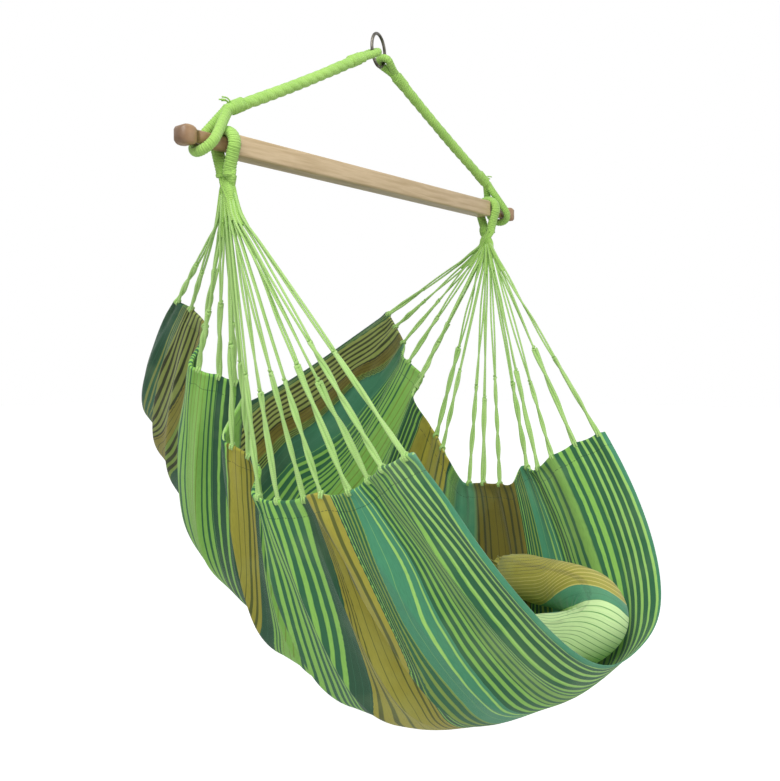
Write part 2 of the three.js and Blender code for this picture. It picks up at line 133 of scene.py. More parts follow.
# The hem's stations from front to back: shares of its half width, reach and drop, and of the cloth's length
HEM_SHARES = (
    (1.057, -1.0, 0.825, 0.0), (1.0, -0.84, 0.865, 0.045), (0.925, -0.685, 0.918, 0.085),
    (0.955, -0.563, 0.966, 0.125), (1.05, -0.4, 0.962, 0.18), (0.93, -0.375, 0.992, 0.22),
    (0.97, -0.25, 1.005, 0.26), (1.0, -0.08, 1.012, 0.32), (1.03, 0.06, 1.008, 0.39),
    (0.89, 0.13, 0.925, 0.44), (0.94, 0.3, 0.86, 0.485), (1.02, 0.48, 0.8, 0.54),
    (0.83, 0.44, 0.66, 0.6), (0.92, 0.56, 0.625, 0.645), (1.05, 0.685, 0.592, 0.7),
    (0.9, 0.73, 0.475, 0.775), (0.95, 0.86, 0.43, 0.87), (1.0, 1.0, 0.388, 1.0),
)
LAST_STATION = len(HEM_SHARES) - 1
# The cloth's middle line in the bar's frame, from front to back
MIDDLE_LINE = (
    (0.0, -0.6, -0.95), (0.0, -0.468, -1.062), (0.0, -0.13, -1.18), (0.0, 0.3105, -1.0384),
    (0.0, 0.5796, -0.767), (0.0, 0.69, -0.548),
)
HANG_ROUNDNESS = 2.9
LIP_FULLNESS = 1.35


# Curves and surfaces
FINE_STEPS = 40


def unit(v):
    v = np.asarray(v, float)
    return v / np.maximum(np.linalg.norm(v, axis=-1, keepdims=True), 1e-12)


def spline(points, places):
    """Points on a centripetal Catmull-Rom curve, at places from 0 to the number of its last point."""
    p = np.array(points, float)
    count = len(p)
    p = np.vstack([2 * p[0] - p[1], p, 2 * p[-1] - p[-2]])
    made = []
    for place in places:
        k = min(int(place), count - 2)
        w = place - k
        a, b, c, d = p[k : k + 4]
        s0, s1, s2 = (max(np.linalg.norm(q - o), 1e-9) ** 0.5 for o, q in ((a, b), (b, c), (c, d)))
        t1 = ((b - a) / s0 - (c - a) / (s0 + s1) + (c - b) / s1) * s1
        t2 = ((c - b) / s1 - (d - b) / (s1 + s2) + (d - c) / s2) * s1
        made.append(b + t1 * w + (3 * (c - b) - 2 * t1 - t2) * w**2 + (2 * (b - c) + t1 + t2) * w**3)
    return np.array(made)


def lengths(points):
    """How far along a line each of its points lies."""
    steps = np.linalg.norm(np.diff(points, axis=0), axis=1)
    return np.concatenate([[0.0], np.cumsum(steps)])


def along(points, distances):
    """Points at distances along a line."""
    at = lengths(points)
    return np.stack([np.interp(distances, at, points[:, k]) for k in range(3)], axis=1)


def smooth_line(points, step):
    """A smooth curve through points, with a point every step."""
    last = len(points) - 1
    fine = spline(points, np.linspace(0, last, FINE_STEPS * last + 1))
    total = lengths(fine)[-1]
    return along(fine, np.linspace(0, total, max(2, round(total / step) + 1)))


def ease(low, high, x):
    t = np.clip((np.asarray(x, float) - low) / (high - low), 0, 1)
    return t * t * (3 - 2 * t)


def bell(x, middle, width):
    return np.exp(-(((x - middle) / width) ** 2))


def circle(count):
    return np.linspace(0, 2 * math.pi, count, endpoint=False)


def turned(angles, first, second, wide=1.0, high=1.0):
    """Points about an axis, out along the directions first and second."""
    return np.outer(np.cos(angles) * wide, first) + np.outer(np.sin(angles) * high, second)


def noise_line(count, seed, roughness):
    """Smooth wandering values about zero, the same for the same seed."""
    source = np.random.default_rng(seed).normal(size=count + 8 * roughness)
    kernel = np.hanning(4 * roughness + 1)
    kernel /= kernel.sum()
    line = np.convolve(source, kernel, mode="same")[2 * roughness : 2 * roughness + count]
    return line / max(np.abs(line).max(), 1e-9)


def make_mesh(name, shape, material, body, replaced=None, tones=()):
    """Shows a shape, which is points, faces and UVs, on one body and in place of a solid."""
    points, faces, uvs = shape
    mesh = bpy.data.meshes.new(name)
    mesh.from_pydata([tuple(p) for p in points], [], [tuple(f) for f in faces])
    if uvs is not None:
        layer = mesh.uv_layers.new(name="UVMap")
        corner = np.zeros(len(mesh.loops), np.int32)
        mesh.loops.foreach_get("vertex_index", corner)
        layer.data.foreach_set("uv", np.asarray(uvs, np.float32)[corner].ravel())
    for title, values in tones:
        layer = mesh.attributes.new(title, "FLOAT", "POINT")
        layer.data.foreach_set("value", np.asarray(values, np.float32).ravel())
    mesh.polygons.foreach_set("use_smooth", np.full(len(mesh.polygons), True))
    mesh.materials.append(material)
    mesh.update()
    made = added(name, mesh)
    if body:
        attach(made, body)
    if replaced:
        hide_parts(replaced)
    return made


def frames(line, first):
    """Two directions across a line at each of its points, carried along without twisting."""
    tangents = unit(np.gradient(line, axis=0))
    side = np.asarray(first, float)
    sides = []
    for t in tangents:
        side = unit(side - np.dot(side, t) * t)
        sides.append(side)
    return np.array(sides), np.cross(tangents, sides)


def ring_faces(rings, count):
    """The quads between neighbouring rings of points."""
    faces = []
    for i in range(rings - 1):
        for k in range(count):
            j = (k + 1) % count
            faces.append((i * count + k, i * count + j, (i + 1) * count + j, (i + 1) * count + k))
    return faces


def tube(line, radii, first, count=8, squeeze=1.0):
    """A tube's points, faces and UVs. radii is one number, one per ring, or a ring by corner table."""
    side, other = frames(line, first)
    rings = len(line)
    table = radii if np.ndim(radii) == 2 else np.reshape(radii, (-1, 1)) * np.ones((rings, count))
    angles = circle(count)
    points = line[:, None] + side[:, None] * (table * np.cos(angles))[..., None]
    points = points + other[:, None] * (table * np.sin(angles) * squeeze)[..., None]
    at = lengths(line)
    uvs = np.stack(np.broadcast_arrays(np.linspace(0, 1, count, endpoint=False), at[:, None]), axis=2)
    points = np.vstack([points.reshape(-1, 3), line[:1], line[-1:]])
    uvs = np.vstack([uvs.reshape(-1, 2), [[0.5, 0.0]], [[0.5, at[-1]]]])
    faces = ring_faces(rings, count)
    tip = rings * count
    for k in range(count):
        j = (k + 1) % count
        faces.append((tip, j, k))
        faces.append((tip + 1, tip - count + k, tip - count + j))
    return points, faces, uvs


def joined(parts):
    points, faces, uvs = [], [], []
    start = 0
    for p, f, u in parts:
        points.append(p)
        faces += [tuple(start + i for i in face) for face in f]
        uvs.append(u)
        start += len(p)
    return np.vstack(points), faces, np.vstack(uvs)


# Materials
BLACK = (0.0, 0.0, 0.0, 1.0)
WHITE = (1.0, 1.0, 1.0, 1.0)


def grey(level):
    return (level, level, level, 1.0)


def rgb(text):
    """A written colour as Blender's linear one."""
    values = [int(text[k : k + 2], 16) / 255 for k in (0, 2, 4)]
    return tuple(v / 12.92 if v <= 0.04045 else ((v + 0.055) / 1.055) ** 2.4 for v in values) + (1.0,)


class Nodes:
    """A node tree that is built call by call."""

    def __init__(self, tree):
        self.tree = tree

    def put(self, value, socket):
        if isinstance(value, bpy.types.NodeSocket):
            self.tree.links.new(value, socket)
        else:
            socket.default_value = value

    def node(self, kind, inputs=None, **settings):
        made = self.tree.nodes.new(kind)
        for key, value in settings.items():
            setattr(made, key, value)
        for key, value in (inputs or {}).items():
            self.put(value, made.inputs[key])
        return made

    def math(self, operation, a, b=0.0, c=0.0, clamp=False):
        inputs = {0: a, 1: b, 2: c}
        return self.node("ShaderNodeMath", inputs, operation=operation, use_clamp=clamp).outputs[0]

    def times(self, a, b):
        return self.math("MULTIPLY", a, b)

    def wave(self, value, length):
        return self.math("SINE", self.times(value, 2 * math.pi / length))

    def mix(self, share, a, b, blend="MIX"):
        inputs = {0: share, 6: a, 7: b}
        return self.node("ShaderNodeMix", inputs, data_type="RGBA", blend_type=blend).outputs[2]

    def uv(self):
        split = self.node("ShaderNodeSeparateXYZ", {0: self.node("ShaderNodeTexCoord").outputs["UV"]})
        return split.outputs[0], split.outputs[1]

    def place(self):
        return self.node("ShaderNodeTexCoord").outputs["Object"]

    def stretched(self, x, y):
        return self.node("ShaderNodeMapping", {"Vector": self.place(), "Scale": (x, y, y)}).outputs[0]

    def noise(self, scale, detail, vector=None, roughness=0.5):
        vector = self.place() if vector is None else vector
        inputs = {"Vector": vector, "Scale": scale, "Detail": detail, "Roughness": roughness}
        return self.node("ShaderNodeTexNoise", inputs).outputs["Fac"]

    def ramp(self, value, stops, constant=False):
        made = self.node("ShaderNodeValToRGB", {"Fac": value})
        made.color_ramp.interpolation = "CONSTANT" if constant else "LINEAR"
        while len(made.color_ramp.elements) < len(stops):
            made.color_ramp.elements.new(1.0)
        for element, (place, _) in zip(made.color_ramp.elements, stops):
            element.position = place
        for element, (_, colour) in zip(made.color_ramp.elements, stops):
            element.color = colour
        return made.outputs["Color"]

    def patches(self, value, low, high, most):
        """A share that is nothing where value is low, and most where it is high."""
        return self.times(self.ramp(value, [(low, BLACK), (high, WHITE)]), most)


class Look(Nodes):
    """A node material."""

    def __init__(self, name, roughness, **fixed):
        self.material = bpy.data.materials.new(name)
        self.material.use_nodes = True
        super().__init__(self.material.node_tree)
        self.shader = self.tree.nodes["Principled BSDF"].inputs
        self.shader["Roughness"].default_value = roughness
        for key, value in fixed.items():
            self.shader[key.replace("_", " ")].default_value = value

    def finish(self, colour, height=None, distance=0.001):
        self.put(colour, self.shader["Base Color"])
        if height is not None:
            bump = self.node("ShaderNodeBump", {"Height": height, "Distance": distance, "Strength": 1.0})
            self.put(bump.outputs[0], self.shader["Normal"])
        return self.material


def cord_look(name, colours, pitch, turns, grain):
    """Twisted or whipped cotton: oblique ridges along the cord with painted shade in the grooves between
    them, a little fuzz and uneven dye.
    """
    light, deep, shade = (rgb(text) for text in colours)
    look = Look(name, 0.85, Sheen_Weight=0.25, Sheen_Roughness=0.5)
    around, length = look.uv()
    slant = look.math("MULTIPLY_ADD", around, turns, look.math("DIVIDE", length, pitch))
    ridge = look.math("ABSOLUTE", look.math("SINE", look.times(slant, math.pi)))
    fuzz = look.noise(900.0, 2.0)
    # Painted shade: the grooves between the ridges take the deep colour, and the ridge tops take the light
    # one.
    colour = look.mix(look.ramp(ridge, [(0.0, grey(0.75)), (0.45, BLACK)]), light, deep)
    colour = look.mix(look.patches(look.noise(14.0, 3.0), 0.42, 0.75, 0.5), colour, deep)
    colour = look.mix(look.patches(fuzz, 0.5, 0.8, 0.35), colour, shade)
    return look.finish(colour, look.math("ADD", ridge, look.times(fuzz, 0.5)), grain)


LIME = ("abd86a", "88ba50", "709a42")
rope_look = cord_look("lime_rope_look", LIME, 0.006, -3.0, 0.0006)
whip_look = cord_look("lime_whipping_look", LIME, 0.0036, 0.5, 0.0007)
cord_lime = cord_look("lime_cord_look", ("b8df88", "97c666", "7ca850"), 0.004, 1.0, 0.0004)
tie_look = cord_look("tie_cord_look", ("8d8a3c", "5d6426", "40481f"), 0.004, 1.0, 0.0003)

# The woven stripes. Each row: where the band starts, in millimetres from the cloth's front edge, its
# ground colour, the colour of its lines, and how much of each repeat the lines take.
INK = {
    "lime": "93cc5e", "pale": "a9dd74", "teal": "4c9670", "dark": "2f6b46", "deep": "2a5a3e",
    "olive": "a9a23c", "brown": "5d6426", "moss": "88a548", "leaf": "88b858", "straw": "d2c76a",
    "ochre": "978f38", "fern": "97a454", "ink": "383d1a", "mint": "daf9b2", "stem": "74b562",
}
BANDS = (
    (0, "teal", "pale", 0.0), (5, "dark", "pale", 0.34), (70, "dark", "lime", 0.52),
    (104, "leaf", "dark", 0.36), (150, "dark", "lime", 0.42), (196, "teal", "pale", 0.24),
    (222, "teal", "pale", 0.0), (252, "dark", "moss", 0.38), (305, "deep", "lime", 0.30),
    (342, "olive", "brown", 0.36), (386, "olive", "brown", 0.07), (434, "olive", "brown", 0.40),
    (478, "deep", "teal", 0.0), (530, "dark", "lime", 0.46), (610, "dark", "lime", 0.56),
    (680, "lime", "dark", 0.26), (725, "lime", "moss", 0.14), (785, "lime", "dark", 0.40),
    (828, "deep", "teal", 0.0), (868, "olive", "brown", 0.40), (905, "olive", "brown", 0.12),
    (945, "deep", "lime", 0.36), (1010, "lime", "dark", 0.34), (1045, "lime", "moss", 0.18),
    (1120, "lime", "dark", 0.36), (1185, "dark", "lime", 0.34), (1240, "deep", "teal", 0.0),
    (1290, "ink", "moss", 0.50), (1350, "ochre", "ink", 0.10), (1400, "ink", "fern", 0.52),
    (1500, "dark", "fern", 0.34), (1545, "deep", "teal", 0.0),
)
BACK_EDGE = 1572
SEAM_DEPTH = 0.034
LINE_PITCH = 16.5
STITCH_WIDTH = 0.0009
STITCH_PITCH = 0.0052
WARP_PITCH = 0.0022
WEFT_PITCH = 0.0026


def woven_look(name, bands, span, pitch=LINE_PITCH, hemmed=False):
    """Striped cotton. The UV's first number is metres across the stripes, its second metres along them."""
    look = Look(name, 0.88, Sheen_Weight=0.18, Sheen_Roughness=0.45)
    across, length = look.uv()
    waver = look.times(look.math("SUBTRACT", look.noise(26.0, 2.0), 0.5), 2.2)
    q = look.math("MULTIPLY_ADD", across, 1000.0, waver)
    share = look.math("DIVIDE", q, span)

    def table(column):
        stops = []
        for row in bands:
            value = row[column]
            stops.append((row[0] / span, rgb(INK[value]) if isinstance(value, str) else grey(value)))
        return look.ramp(share, stops, constant=True)

    repeat = look.math("DIVIDE", q, pitch)
    uneven = look.node("ShaderNodeTexWhiteNoise", {"W": look.math("FLOOR", repeat)}, noise_dimensions="1D")
    width = look.times(table(3), look.math("MULTIPLY_ADD", uneven.outputs["Value"], 0.5, 0.78))
    fold = look.math("ABSOLUTE", look.math("SUBTRACT", look.math("FRACT", repeat), 0.5))
    apart = look.math("SUBTRACT", width, look.times(fold, 2.0))
    colour = look.mix(look.math("MULTIPLY_ADD", apart, 6.5, 0.5, clamp=True), table(1), table(2))
    if hemmed:
        # Painted shade: this attribute darkens and browns the stripes towards the right hem, standing in
        # for the shade inside the seat.
        tone = look.node("ShaderNodeAttribute", attribute_name="tone").outputs["Fac"]
        colour = look.mix(tone, colour, look.mix(1.0, colour, rgb("aea67c"), "MULTIPLY"))
        wash = look.node("ShaderNodeAttribute", attribute_name="wash").outputs["Fac"]
        colour = look.mix(wash, colour, rgb(INK["teal"]))
        colour = look.mix(look.math("GREATER_THAN", q, BACK_EDGE), colour, rgb(INK["deep"]))
        from_seam = look.math("ABSOLUTE", look.math("SUBTRACT", length, SEAM_DEPTH))
        dash = look.math("GREATER_THAN", look.wave(across, STITCH_PITCH), -0.35)
        stitch = look.times(look.math("LESS_THAN", from_seam, STITCH_WIDTH), look.times(dash, 0.7))
        colour = look.mix(stitch, colour, rgb("1f3d28"))
    weave = look.times(look.wave(across, WARP_PITCH), look.wave(length, WEFT_PITCH))
    threads = look.node("ShaderNodeCombineXYZ", {0: look.times(across, 900.0), 1: look.times(length, 60.0)})
    slub = look.noise(1.0, 2.0, threads.outputs[0])
    colour = look.mix(look.patches(slub, 0.45, 0.8, 0.22), colour, rgb("23452c"))
    colour = look.mix(look.patches(look.noise(7.0, 4.0), 0.5, 0.75, 0.10), colour, rgb("d8efb0"))
    return look.finish(colour, look.math("ADD", weave, look.times(slub, 1.6)), 0.00022)


def wood_look():
    """Plain light wood, whose turned ends are redder and darkest at their tips."""
    light, dark = rgb("cab28c"), rgb("b29970")
    look = Look("beech_look", 0.42, Coat_Weight=0.12, Coat_Roughness=0.25)
    rings = look.noise(3.4, 4.0, look.stretched(1.6, 26.0), 0.55)
    pores = look.noise(1.2, 2.0, look.stretched(14.0, 700.0))
    colour = look.ramp(rings, [(0.32, dark), (0.5, light), (0.68, dark)])
    colour = look.mix(look.patches(pores, 0.52, 0.7, 0.35), colour, dark)
    far = look.math("ABSOLUTE", look.node("ShaderNodeSeparateXYZ", {0: look.place()}).outputs[0])
    neck = look.math("SUBTRACT", far, SHOULDER_X - 0.002)
    neck = look.math("MULTIPLY_ADD", neck, 120.0, 0.0, clamp=True)
    colour = look.mix(neck, colour, look.mix(rings, rgb("b28f68"), rgb("8a6a4a")))
    tip = look.math("SUBTRACT", far, BAR_HALF - 0.016)
    tip = look.math("MULTIPLY_ADD", tip, 60.0, 0.0, clamp=True)
    colour = look.mix(look.times(tip, 0.8), colour, rgb("5c4535"))
    return look.finish(colour, look.math("ADD", rings, pores), 0.0003)


def steel_look():
    look = Look("ring_steel_look", 0.32, Metallic=1.0)
    cloud = look.noise(60.0, 4.0)
    look.put(look.math("MULTIPLY_ADD", cloud, 0.3, 0.2), look.shader["Roughness"])
    colour = look.ramp(cloud, [(0.35, rgb("4a4740")), (0.7, rgb("8a867c"))])
    return look.finish(colour, look.noise(1.0, 2.0, look.stretched(900.0, 120.0)), 0.0001)


seat_look = woven_look("striped_cloth_look", BANDS, CLOTH_LENGTH * 1000, hemmed=True)

# Hem and seat surface, in the bar's frame
SIDES = (("left", -1), ("right", 1))
VIEW_SIDE = np.array([0.643, -0.766, 0.0])
VIEW_DEPTH = np.array([0.766, 0.643, 0.0])
# How each side's cloth hangs off its mirrored stations: millimetres along the view's side, up, and deeper
HEM_SHIFTS = {
    -1: (
        (20, 2, 0), (3, 0, 0), (0, 6, 0), (0, 12, 0), (0, 6, 0), (0, 14, 0), (0, 18, 0), (-6, 16, 0),
        (4, 26, 0), (-10, 14, 0), (4, 0, 0), (16, -15, 0), (0, -8, 0), (-6, -8, 0), (-6, -7, 0),
        (-8, -8, 0), (-4, 4, 0), (-2, -5, 0),
    ),
    1: (
        (0, 0, 0), (0, 0, 0), (0, 0, 0), (0, 0, 0), (0, 0, 0), (6, -20, 0), (0, -16, 0), (0, -15, 0),
        (-5, -20, 0), (-4, -8, 0), (8, -26, -10), (2, -20, -5), (-12, -34, 0), (18, -8, -10),
        (-34, 22, -26), (12, -26, 20), (6, -8, 10), (0, 8, 0),
    ),
}


def hem_line(places, side):
    points = []
    for (x, y, z, _), shift in zip(HEM_SHARES, HEM_SHIFTS[side]):
        reach = HEM_FRONT if y < 0 else HEM_BACK
        point = np.array([side * x * HEM_HALF_WIDTH, y * reach, -z * HEM_DROP])
        moved = shift[0] * VIEW_SIDE + shift[1] * Z + shift[2] * VIEW_DEPTH
        points.append(point + moved / 1000)
    return spline(points, places)


def length_shares(places):
    """Where each place of the hem lies along the cloth's length."""
    shares = [row[3] for row in HEM_SHARES]
    made = []
    for place in places:
        k = min(int(place), LAST_STATION - 1)
        w = place - k
        p0, p1 = shares[max(k - 1, 0)], shares[k]
        p2, p3 = shares[k + 1], shares[min(k + 2, LAST_STATION)]
        v0, v1 = (p2 - p0) / 2, (p3 - p1) / 2
        value = (2 * p1 - 2 * p2 + v0 + v1) * w**3 + (3 * p2 - 3 * p1 - 2 * v0 - v1) * w**2 + v0 * w + p1
        made.append(value)
    return np.clip(made, 0, 1)


ROWS = 361
THREAD_STEPS = 83
HEM_STEPS = (0.0, 0.004, 0.009, 0.015, 0.021, 0.027, 0.031, 0.035, 0.039, 0.045, 0.053)


def seat_grid():
    """The cloth's middle surface in rows from front to back, and how far along its row each point lies."""
    places = np.linspace(0, LAST_STATION, ROWS)
    left, right = hem_line(places, -1), hem_line(places, 1)
    shares = length_shares(places)
    middle = spline(MIDDLE_LINE, np.linspace(0, len(MIDDLE_LINE) - 1, 1001))
    centre = along(middle, shares * lengths(middle)[-1])
    s = np.linspace(-1, 1, 401)
    rise = (np.cosh(HANG_ROUNDNESS * s) - 1) / (math.cosh(HANG_ROUNDNESS) - 1)
    grid, spans, outs = [], [], []
    for k, (c, share) in enumerate(zip(centre, shares)):
        full = LIP_FULLNESS + (1 - LIP_FULLNESS) * share
        h = np.where(s[:, None] < 0, left[k], right[k])
        x = h[:, 0] * np.abs(s)
        y = c[1] + (h[:, 1] - c[1]) * rise**full
        z = c[2] + (h[:, 2] - c[2]) * rise
        thread = np.stack([x, y, z], axis=1)
        measure = lengths(thread)
        total = measure[-1]
        steps = np.array(HEM_STEPS)
        inner = np.linspace(steps[-1], total - steps[-1], THREAD_STEPS)[1:-1]
        at = np.concatenate([steps, inner, total - steps[::-1]])
        grid.append(along(thread, at))
        spans.append(at)
        outs.append(np.interp(at, measure, s))
    return np.array(grid), np.array(spans), np.array(outs), shares


# Which stripe lies where. Each row: a place in BANDS, then where it lies along the cloth for each share of
# the way from the middle line to a hem, in millimetres. The stripes drift where the hems are gathered.
LEFT_LEVELS = (0.0, 0.25, 0.4, 0.5, 0.6, 0.7, 0.8, 0.9, 1.0)
LEFT_STRIPES = (
    (0, 0, 0, 0, 0, 0, 0, 0, 0, 0),
    (104, 104, 104, 104, 104, 104, 102, 100, 92, 90),
    (150, 150, 150, 150, 149, 148, 146, 139, 127, 125),
    (190, 195, 194, 192, 188, 186, 182, 172, 153, 150),
    (222, 230, 230, 232, 224, 220, 218, 210, 177, 170),
    (252, 280, 280, 270, 260, 256, 256, 252, 227, 188),
    (290, 325, 322, 318, 312, 308, 290, 268, 244, 208),
    (342, 375, 372, 364, 352, 338, 305, 282, 258, 228),
    (386, 430, 412, 398, 385, 378, 370, 360, 342, 290),
    (434, 485, 468, 440, 424, 418, 412, 403, 390, 375),
    (478, 560, 545, 530, 500, 468, 440, 416, 399, 387),
    (530, 620, 600, 570, 545, 515, 487, 453, 430, 404),
    (610, 700, 670, 645, 628, 606, 586, 566, 548, 540),
    (680, 770, 735, 708, 692, 678, 666, 656, 650, 646),
    (785, 860, 850, 824, 802, 778, 754, 735, 716, 702),
    (828, 895, 875, 842, 822, 800, 782, 763, 742, 728),
    (868, 930, 912, 880, 856, 829, 807, 785, 763, 745),
    (905, 950, 935, 910, 886, 860, 835, 815, 793, 772),
    (945, 980, 965, 942, 918, 894, 868, 842, 832, 820),
    (962, 992, 980, 965, 950, 930, 905, 884, 882, 880),
    (975, 1005, 998, 992, 988, 986, 984, 982, 982, 982),
    (1010, 1030, 1030, 1030, 1030, 1030, 1032, 1034, 1035, 1032),
    (1045, 1060, 1060, 1060, 1060, 1060, 1060, 1058, 1056, 1055),
    (1120, 1120, 1120, 1120, 1120, 1118, 1116, 1115, 1108, 1100),
    (1185, 1185, 1185, 1190, 1190, 1190, 1190, 1185, 1165, 1150),
    (1240, 1290, 1300, 1300, 1285, 1262, 1250, 1225, 1200, 1180),
    (1290, 1340, 1350, 1360, 1352, 1335, 1292, 1267, 1235, 1215),
    (1350, 1390, 1405, 1425, 1425, 1408, 1357, 1322, 1290, 1275),
    (1400, 1430, 1445, 1470, 1480, 1463, 1410, 1360, 1312, 1290),
    (1500, 1515, 1520, 1530, 1540, 1530, 1500, 1490, 1475, 1440),
    (1545, 1560, 1560, 1565, 1565, 1560, 1550, 1540, 1525, 1490),
    (1572, 1576, 1576, 1576, 1576, 1575, 1575, 1570, 1565, 1556),
    (1600, 1600, 1600, 1600, 1600, 1600, 1600, 1600, 1600, 1600),
)
RIGHT_LEVELS = (0.0, 0.3, 0.6, 0.8, 0.9, 0.95, 1.0)
RIGHT_STRIPES = (
    (0, 0, 0, 0, 0, 0, 0, 0),
    (104, 104, 104, 108, 110, 110, 110, 110),
    (122, 122, 122, 130, 150, 150, 150, 150),
    (165, 168, 168, 180, 200, 200, 200, 200),
    (222, 230, 230, 235, 250, 255, 258, 260),
    (252, 280, 280, 285, 302, 302, 302, 300),
    (290, 325, 325, 320, 325, 324, 322, 320),
    (342, 375, 375, 360, 346, 345, 343, 340),
    (425, 470, 470, 455, 450, 450, 450, 450),
    (478, 560, 530, 540, 545, 543, 540, 540),
    (530, 620, 600, 615, 652, 652, 650, 650),
    (610, 700, 680, 668, 668, 667, 666, 664),
    (828, 895, 860, 790, 690, 688, 686, 684),
    (868, 930, 890, 830, 705, 702, 694, 690),
    (905, 950, 925, 875, 775, 772, 770, 768),
    (945, 980, 960, 930, 915, 912, 905, 900),
    (1010, 1030, 1020, 1000, 955, 955, 955, 953),
    (1045, 1060, 1060, 1065, 1030, 1015, 1000, 985),
    (1120, 1120, 1130, 1165, 1108, 1085, 1075, 1070),
    (1185, 1185, 1200, 1250, 1175, 1140, 1125, 1118),
    (1240, 1290, 1310, 1338, 1255, 1228, 1193, 1182),
    (1290, 1340, 1360, 1412, 1376, 1364, 1262, 1245),
    (1350, 1390, 1400, 1440, 1395, 1382, 1290, 1275),
    (1400, 1430, 1440, 1482, 1445, 1425, 1345, 1325),
    (1500, 1515, 1530, 1585, 1588, 1588, 1570, 1550),
    (1545, 1560, 1570, 1592, 1594, 1594, 1590, 1586),
    (1572, 1576, 1580, 1596, 1597, 1597, 1597, 1596),
    (1600, 1600, 1600, 1600, 1600, 1600, 1600, 1600),
)
LEVEL_STEPS = 201
LEVEL_SOFTENING = 17


def stripe_places(shares, outs):
    """The stripe at each point of the grid, in metres."""
    along_cloth = shares * CLOTH_LENGTH * 1000
    fine = np.linspace(0, 1, LEVEL_STEPS)
    kernel = np.hanning(LEVEL_SOFTENING + 2)[1:-1]
    kernel /= kernel.sum()
    pad = LEVEL_SOFTENING // 2
    made = np.zeros_like(outs)
    for side, levels, table in ((-1, LEFT_LEVELS, LEFT_STRIPES), (1, RIGHT_LEVELS, RIGHT_STRIPES)):
        table = np.array(table)
        starts = []
        for places in table[:, 1:]:
            bent = np.pad(np.interp(fine, levels, places), pad, mode="reflect", reflect_type="odd")
            starts.append(np.convolve(bent, kernel, mode="valid"))
        starts = np.array(starts)
        drawn = np.array([np.interp(along_cloth, starts[:, k], table[:, 0]) for k in range(LEVEL_STEPS)])
        for row in range(len(shares)):
            chosen = outs[row] * side >= 0
            made[row, chosen] = np.interp(np.abs(outs[row, chosen]), fine, drawn[:, row])
    return made / 1000


CLOTH_HALF = 0.0008
SLEEVE_RADIUS = 0.0046
FOLD_WIDTH = 0.014
FOLD_RISE = 0.0055
FOLD_REACH = 0.13
SCALLOP = 0.004
SCALLOP_REACH = 0.05
DRAPE_LENGTH = 0.105
DRAPE_RISE = 0.019
PUCKER_RISE = 0.0024
LONG_FOLD_RISE = 0.0075
LONG_FOLD_REACH = 0.2
FINE_FOLD_RISE = 0.0032
FINE_FOLD_REACH = 0.09
SEAM_WIDTH = 0.0022
SEAM_PINCH = 0.0003
SLACK_RISE = 0.0022
SLEEVE_ANGLES = (60, 30, 0, -30, -60)
FEET = length_shares(np.array(FOOT_SHARES) * LAST_STATION)
# The right side's painted shade and greener stripes. The first table darkens and browns the stripes towards
# the right hem, standing in for the shade inside the seat; the second makes other stripes there greener.
# Each row: the millimetres along the cloth between which the change comes and goes, how strong it is, and
# between which shares of the way to the hem it comes.
BROWN_SHADE_ROWS = ((334, 348, 474, 486, 1.0, 0.45, 0.75), (1344, 1352, 1400, 1408, 0.8, 0.3, 0.6))
WASHED = ((470, 480, 534, 546, 0.75, 0.5, 0.8), (1236, 1244, 1284, 1292, 0.6, 0.5, 0.8))


def banded_share(rows, outs, q):
    made = np.zeros_like(q)
    for low, full, fading, gone, most, begin, end in rows:
        made += most * ease(begin, end, outs) * ease(low, full, q) * (1 - ease(fading, gone, q))
    return made


def hem_folds(shares):
    """Ridges that run down the cloth from where each cord holds its hem."""
    return sum(bell(shares, foot, FOLD_WIDTH / CLOTH_LENGTH) for foot in FEET)


def hem_sag(shares):
    """How far the hem hangs down between the cords that hold it."""
    return (1 - np.clip(hem_folds(shares), 0, 1)) * SCALLOP


def side_noise(outs, left_seed, right_seed, roughness):
    """Wandering values along the cloth, other ones on its right than on its left."""
    left = noise_line(ROWS, left_seed, roughness)[:, None]
    right = noise_line(ROWS, right_seed, roughness)[:, None]
    return np.where(outs < 0, left, right)


def seat_relief(outs, edge, shares):
    """How far the cloth's folds stand out from its middle surface."""
    pucker = side_noise(outs, 3, 31, 2) * PUCKER_RISE
    pucker = pucker * (bell(edge, SEAM_DEPTH, 0.016) + 0.5 * bell(edge, 0.06, 0.03))
    long_fold = side_noise(outs, 5, 51, 5) * np.exp(-edge / LONG_FOLD_REACH)
    long_fold = long_fold * ease(0.0, 0.05, edge) * LONG_FOLD_RISE
    fine_fold = side_noise(outs, 6, 61, 3) * np.exp(-edge / FINE_FOLD_REACH)
    fine_fold = fine_fold * ease(0.0, 0.03, edge) * FINE_FOLD_RISE
    beat = math.pi * (shares * CLOTH_LENGTH / DRAPE_LENGTH + 0.35 * noise_line(ROWS, 8, 20))
    drape = (np.abs(np.sin(beat)) ** 0.7 - 0.65)[:, None] * DRAPE_RISE * np.where(outs < 0, 1.0, 0.35)
    drape = drape * ease(0.06, 0.2, edge) * (1 - ease(0.42, 0.62, edge))
    ridge = (hem_folds(shares)[:, None] - 0.4) * FOLD_RISE
    ridge = ridge * np.exp(-edge / FOLD_REACH) * ease(0.0, 0.02, edge)
    slack = np.sin(9 * outs + 40 * shares[:, None]) * np.sin(23 * shares[:, None] + 2)
    slack = slack * SLACK_RISE * ease(0.05, 0.25, edge)
    return pucker + long_fold + fine_fold + ridge + slack + drape


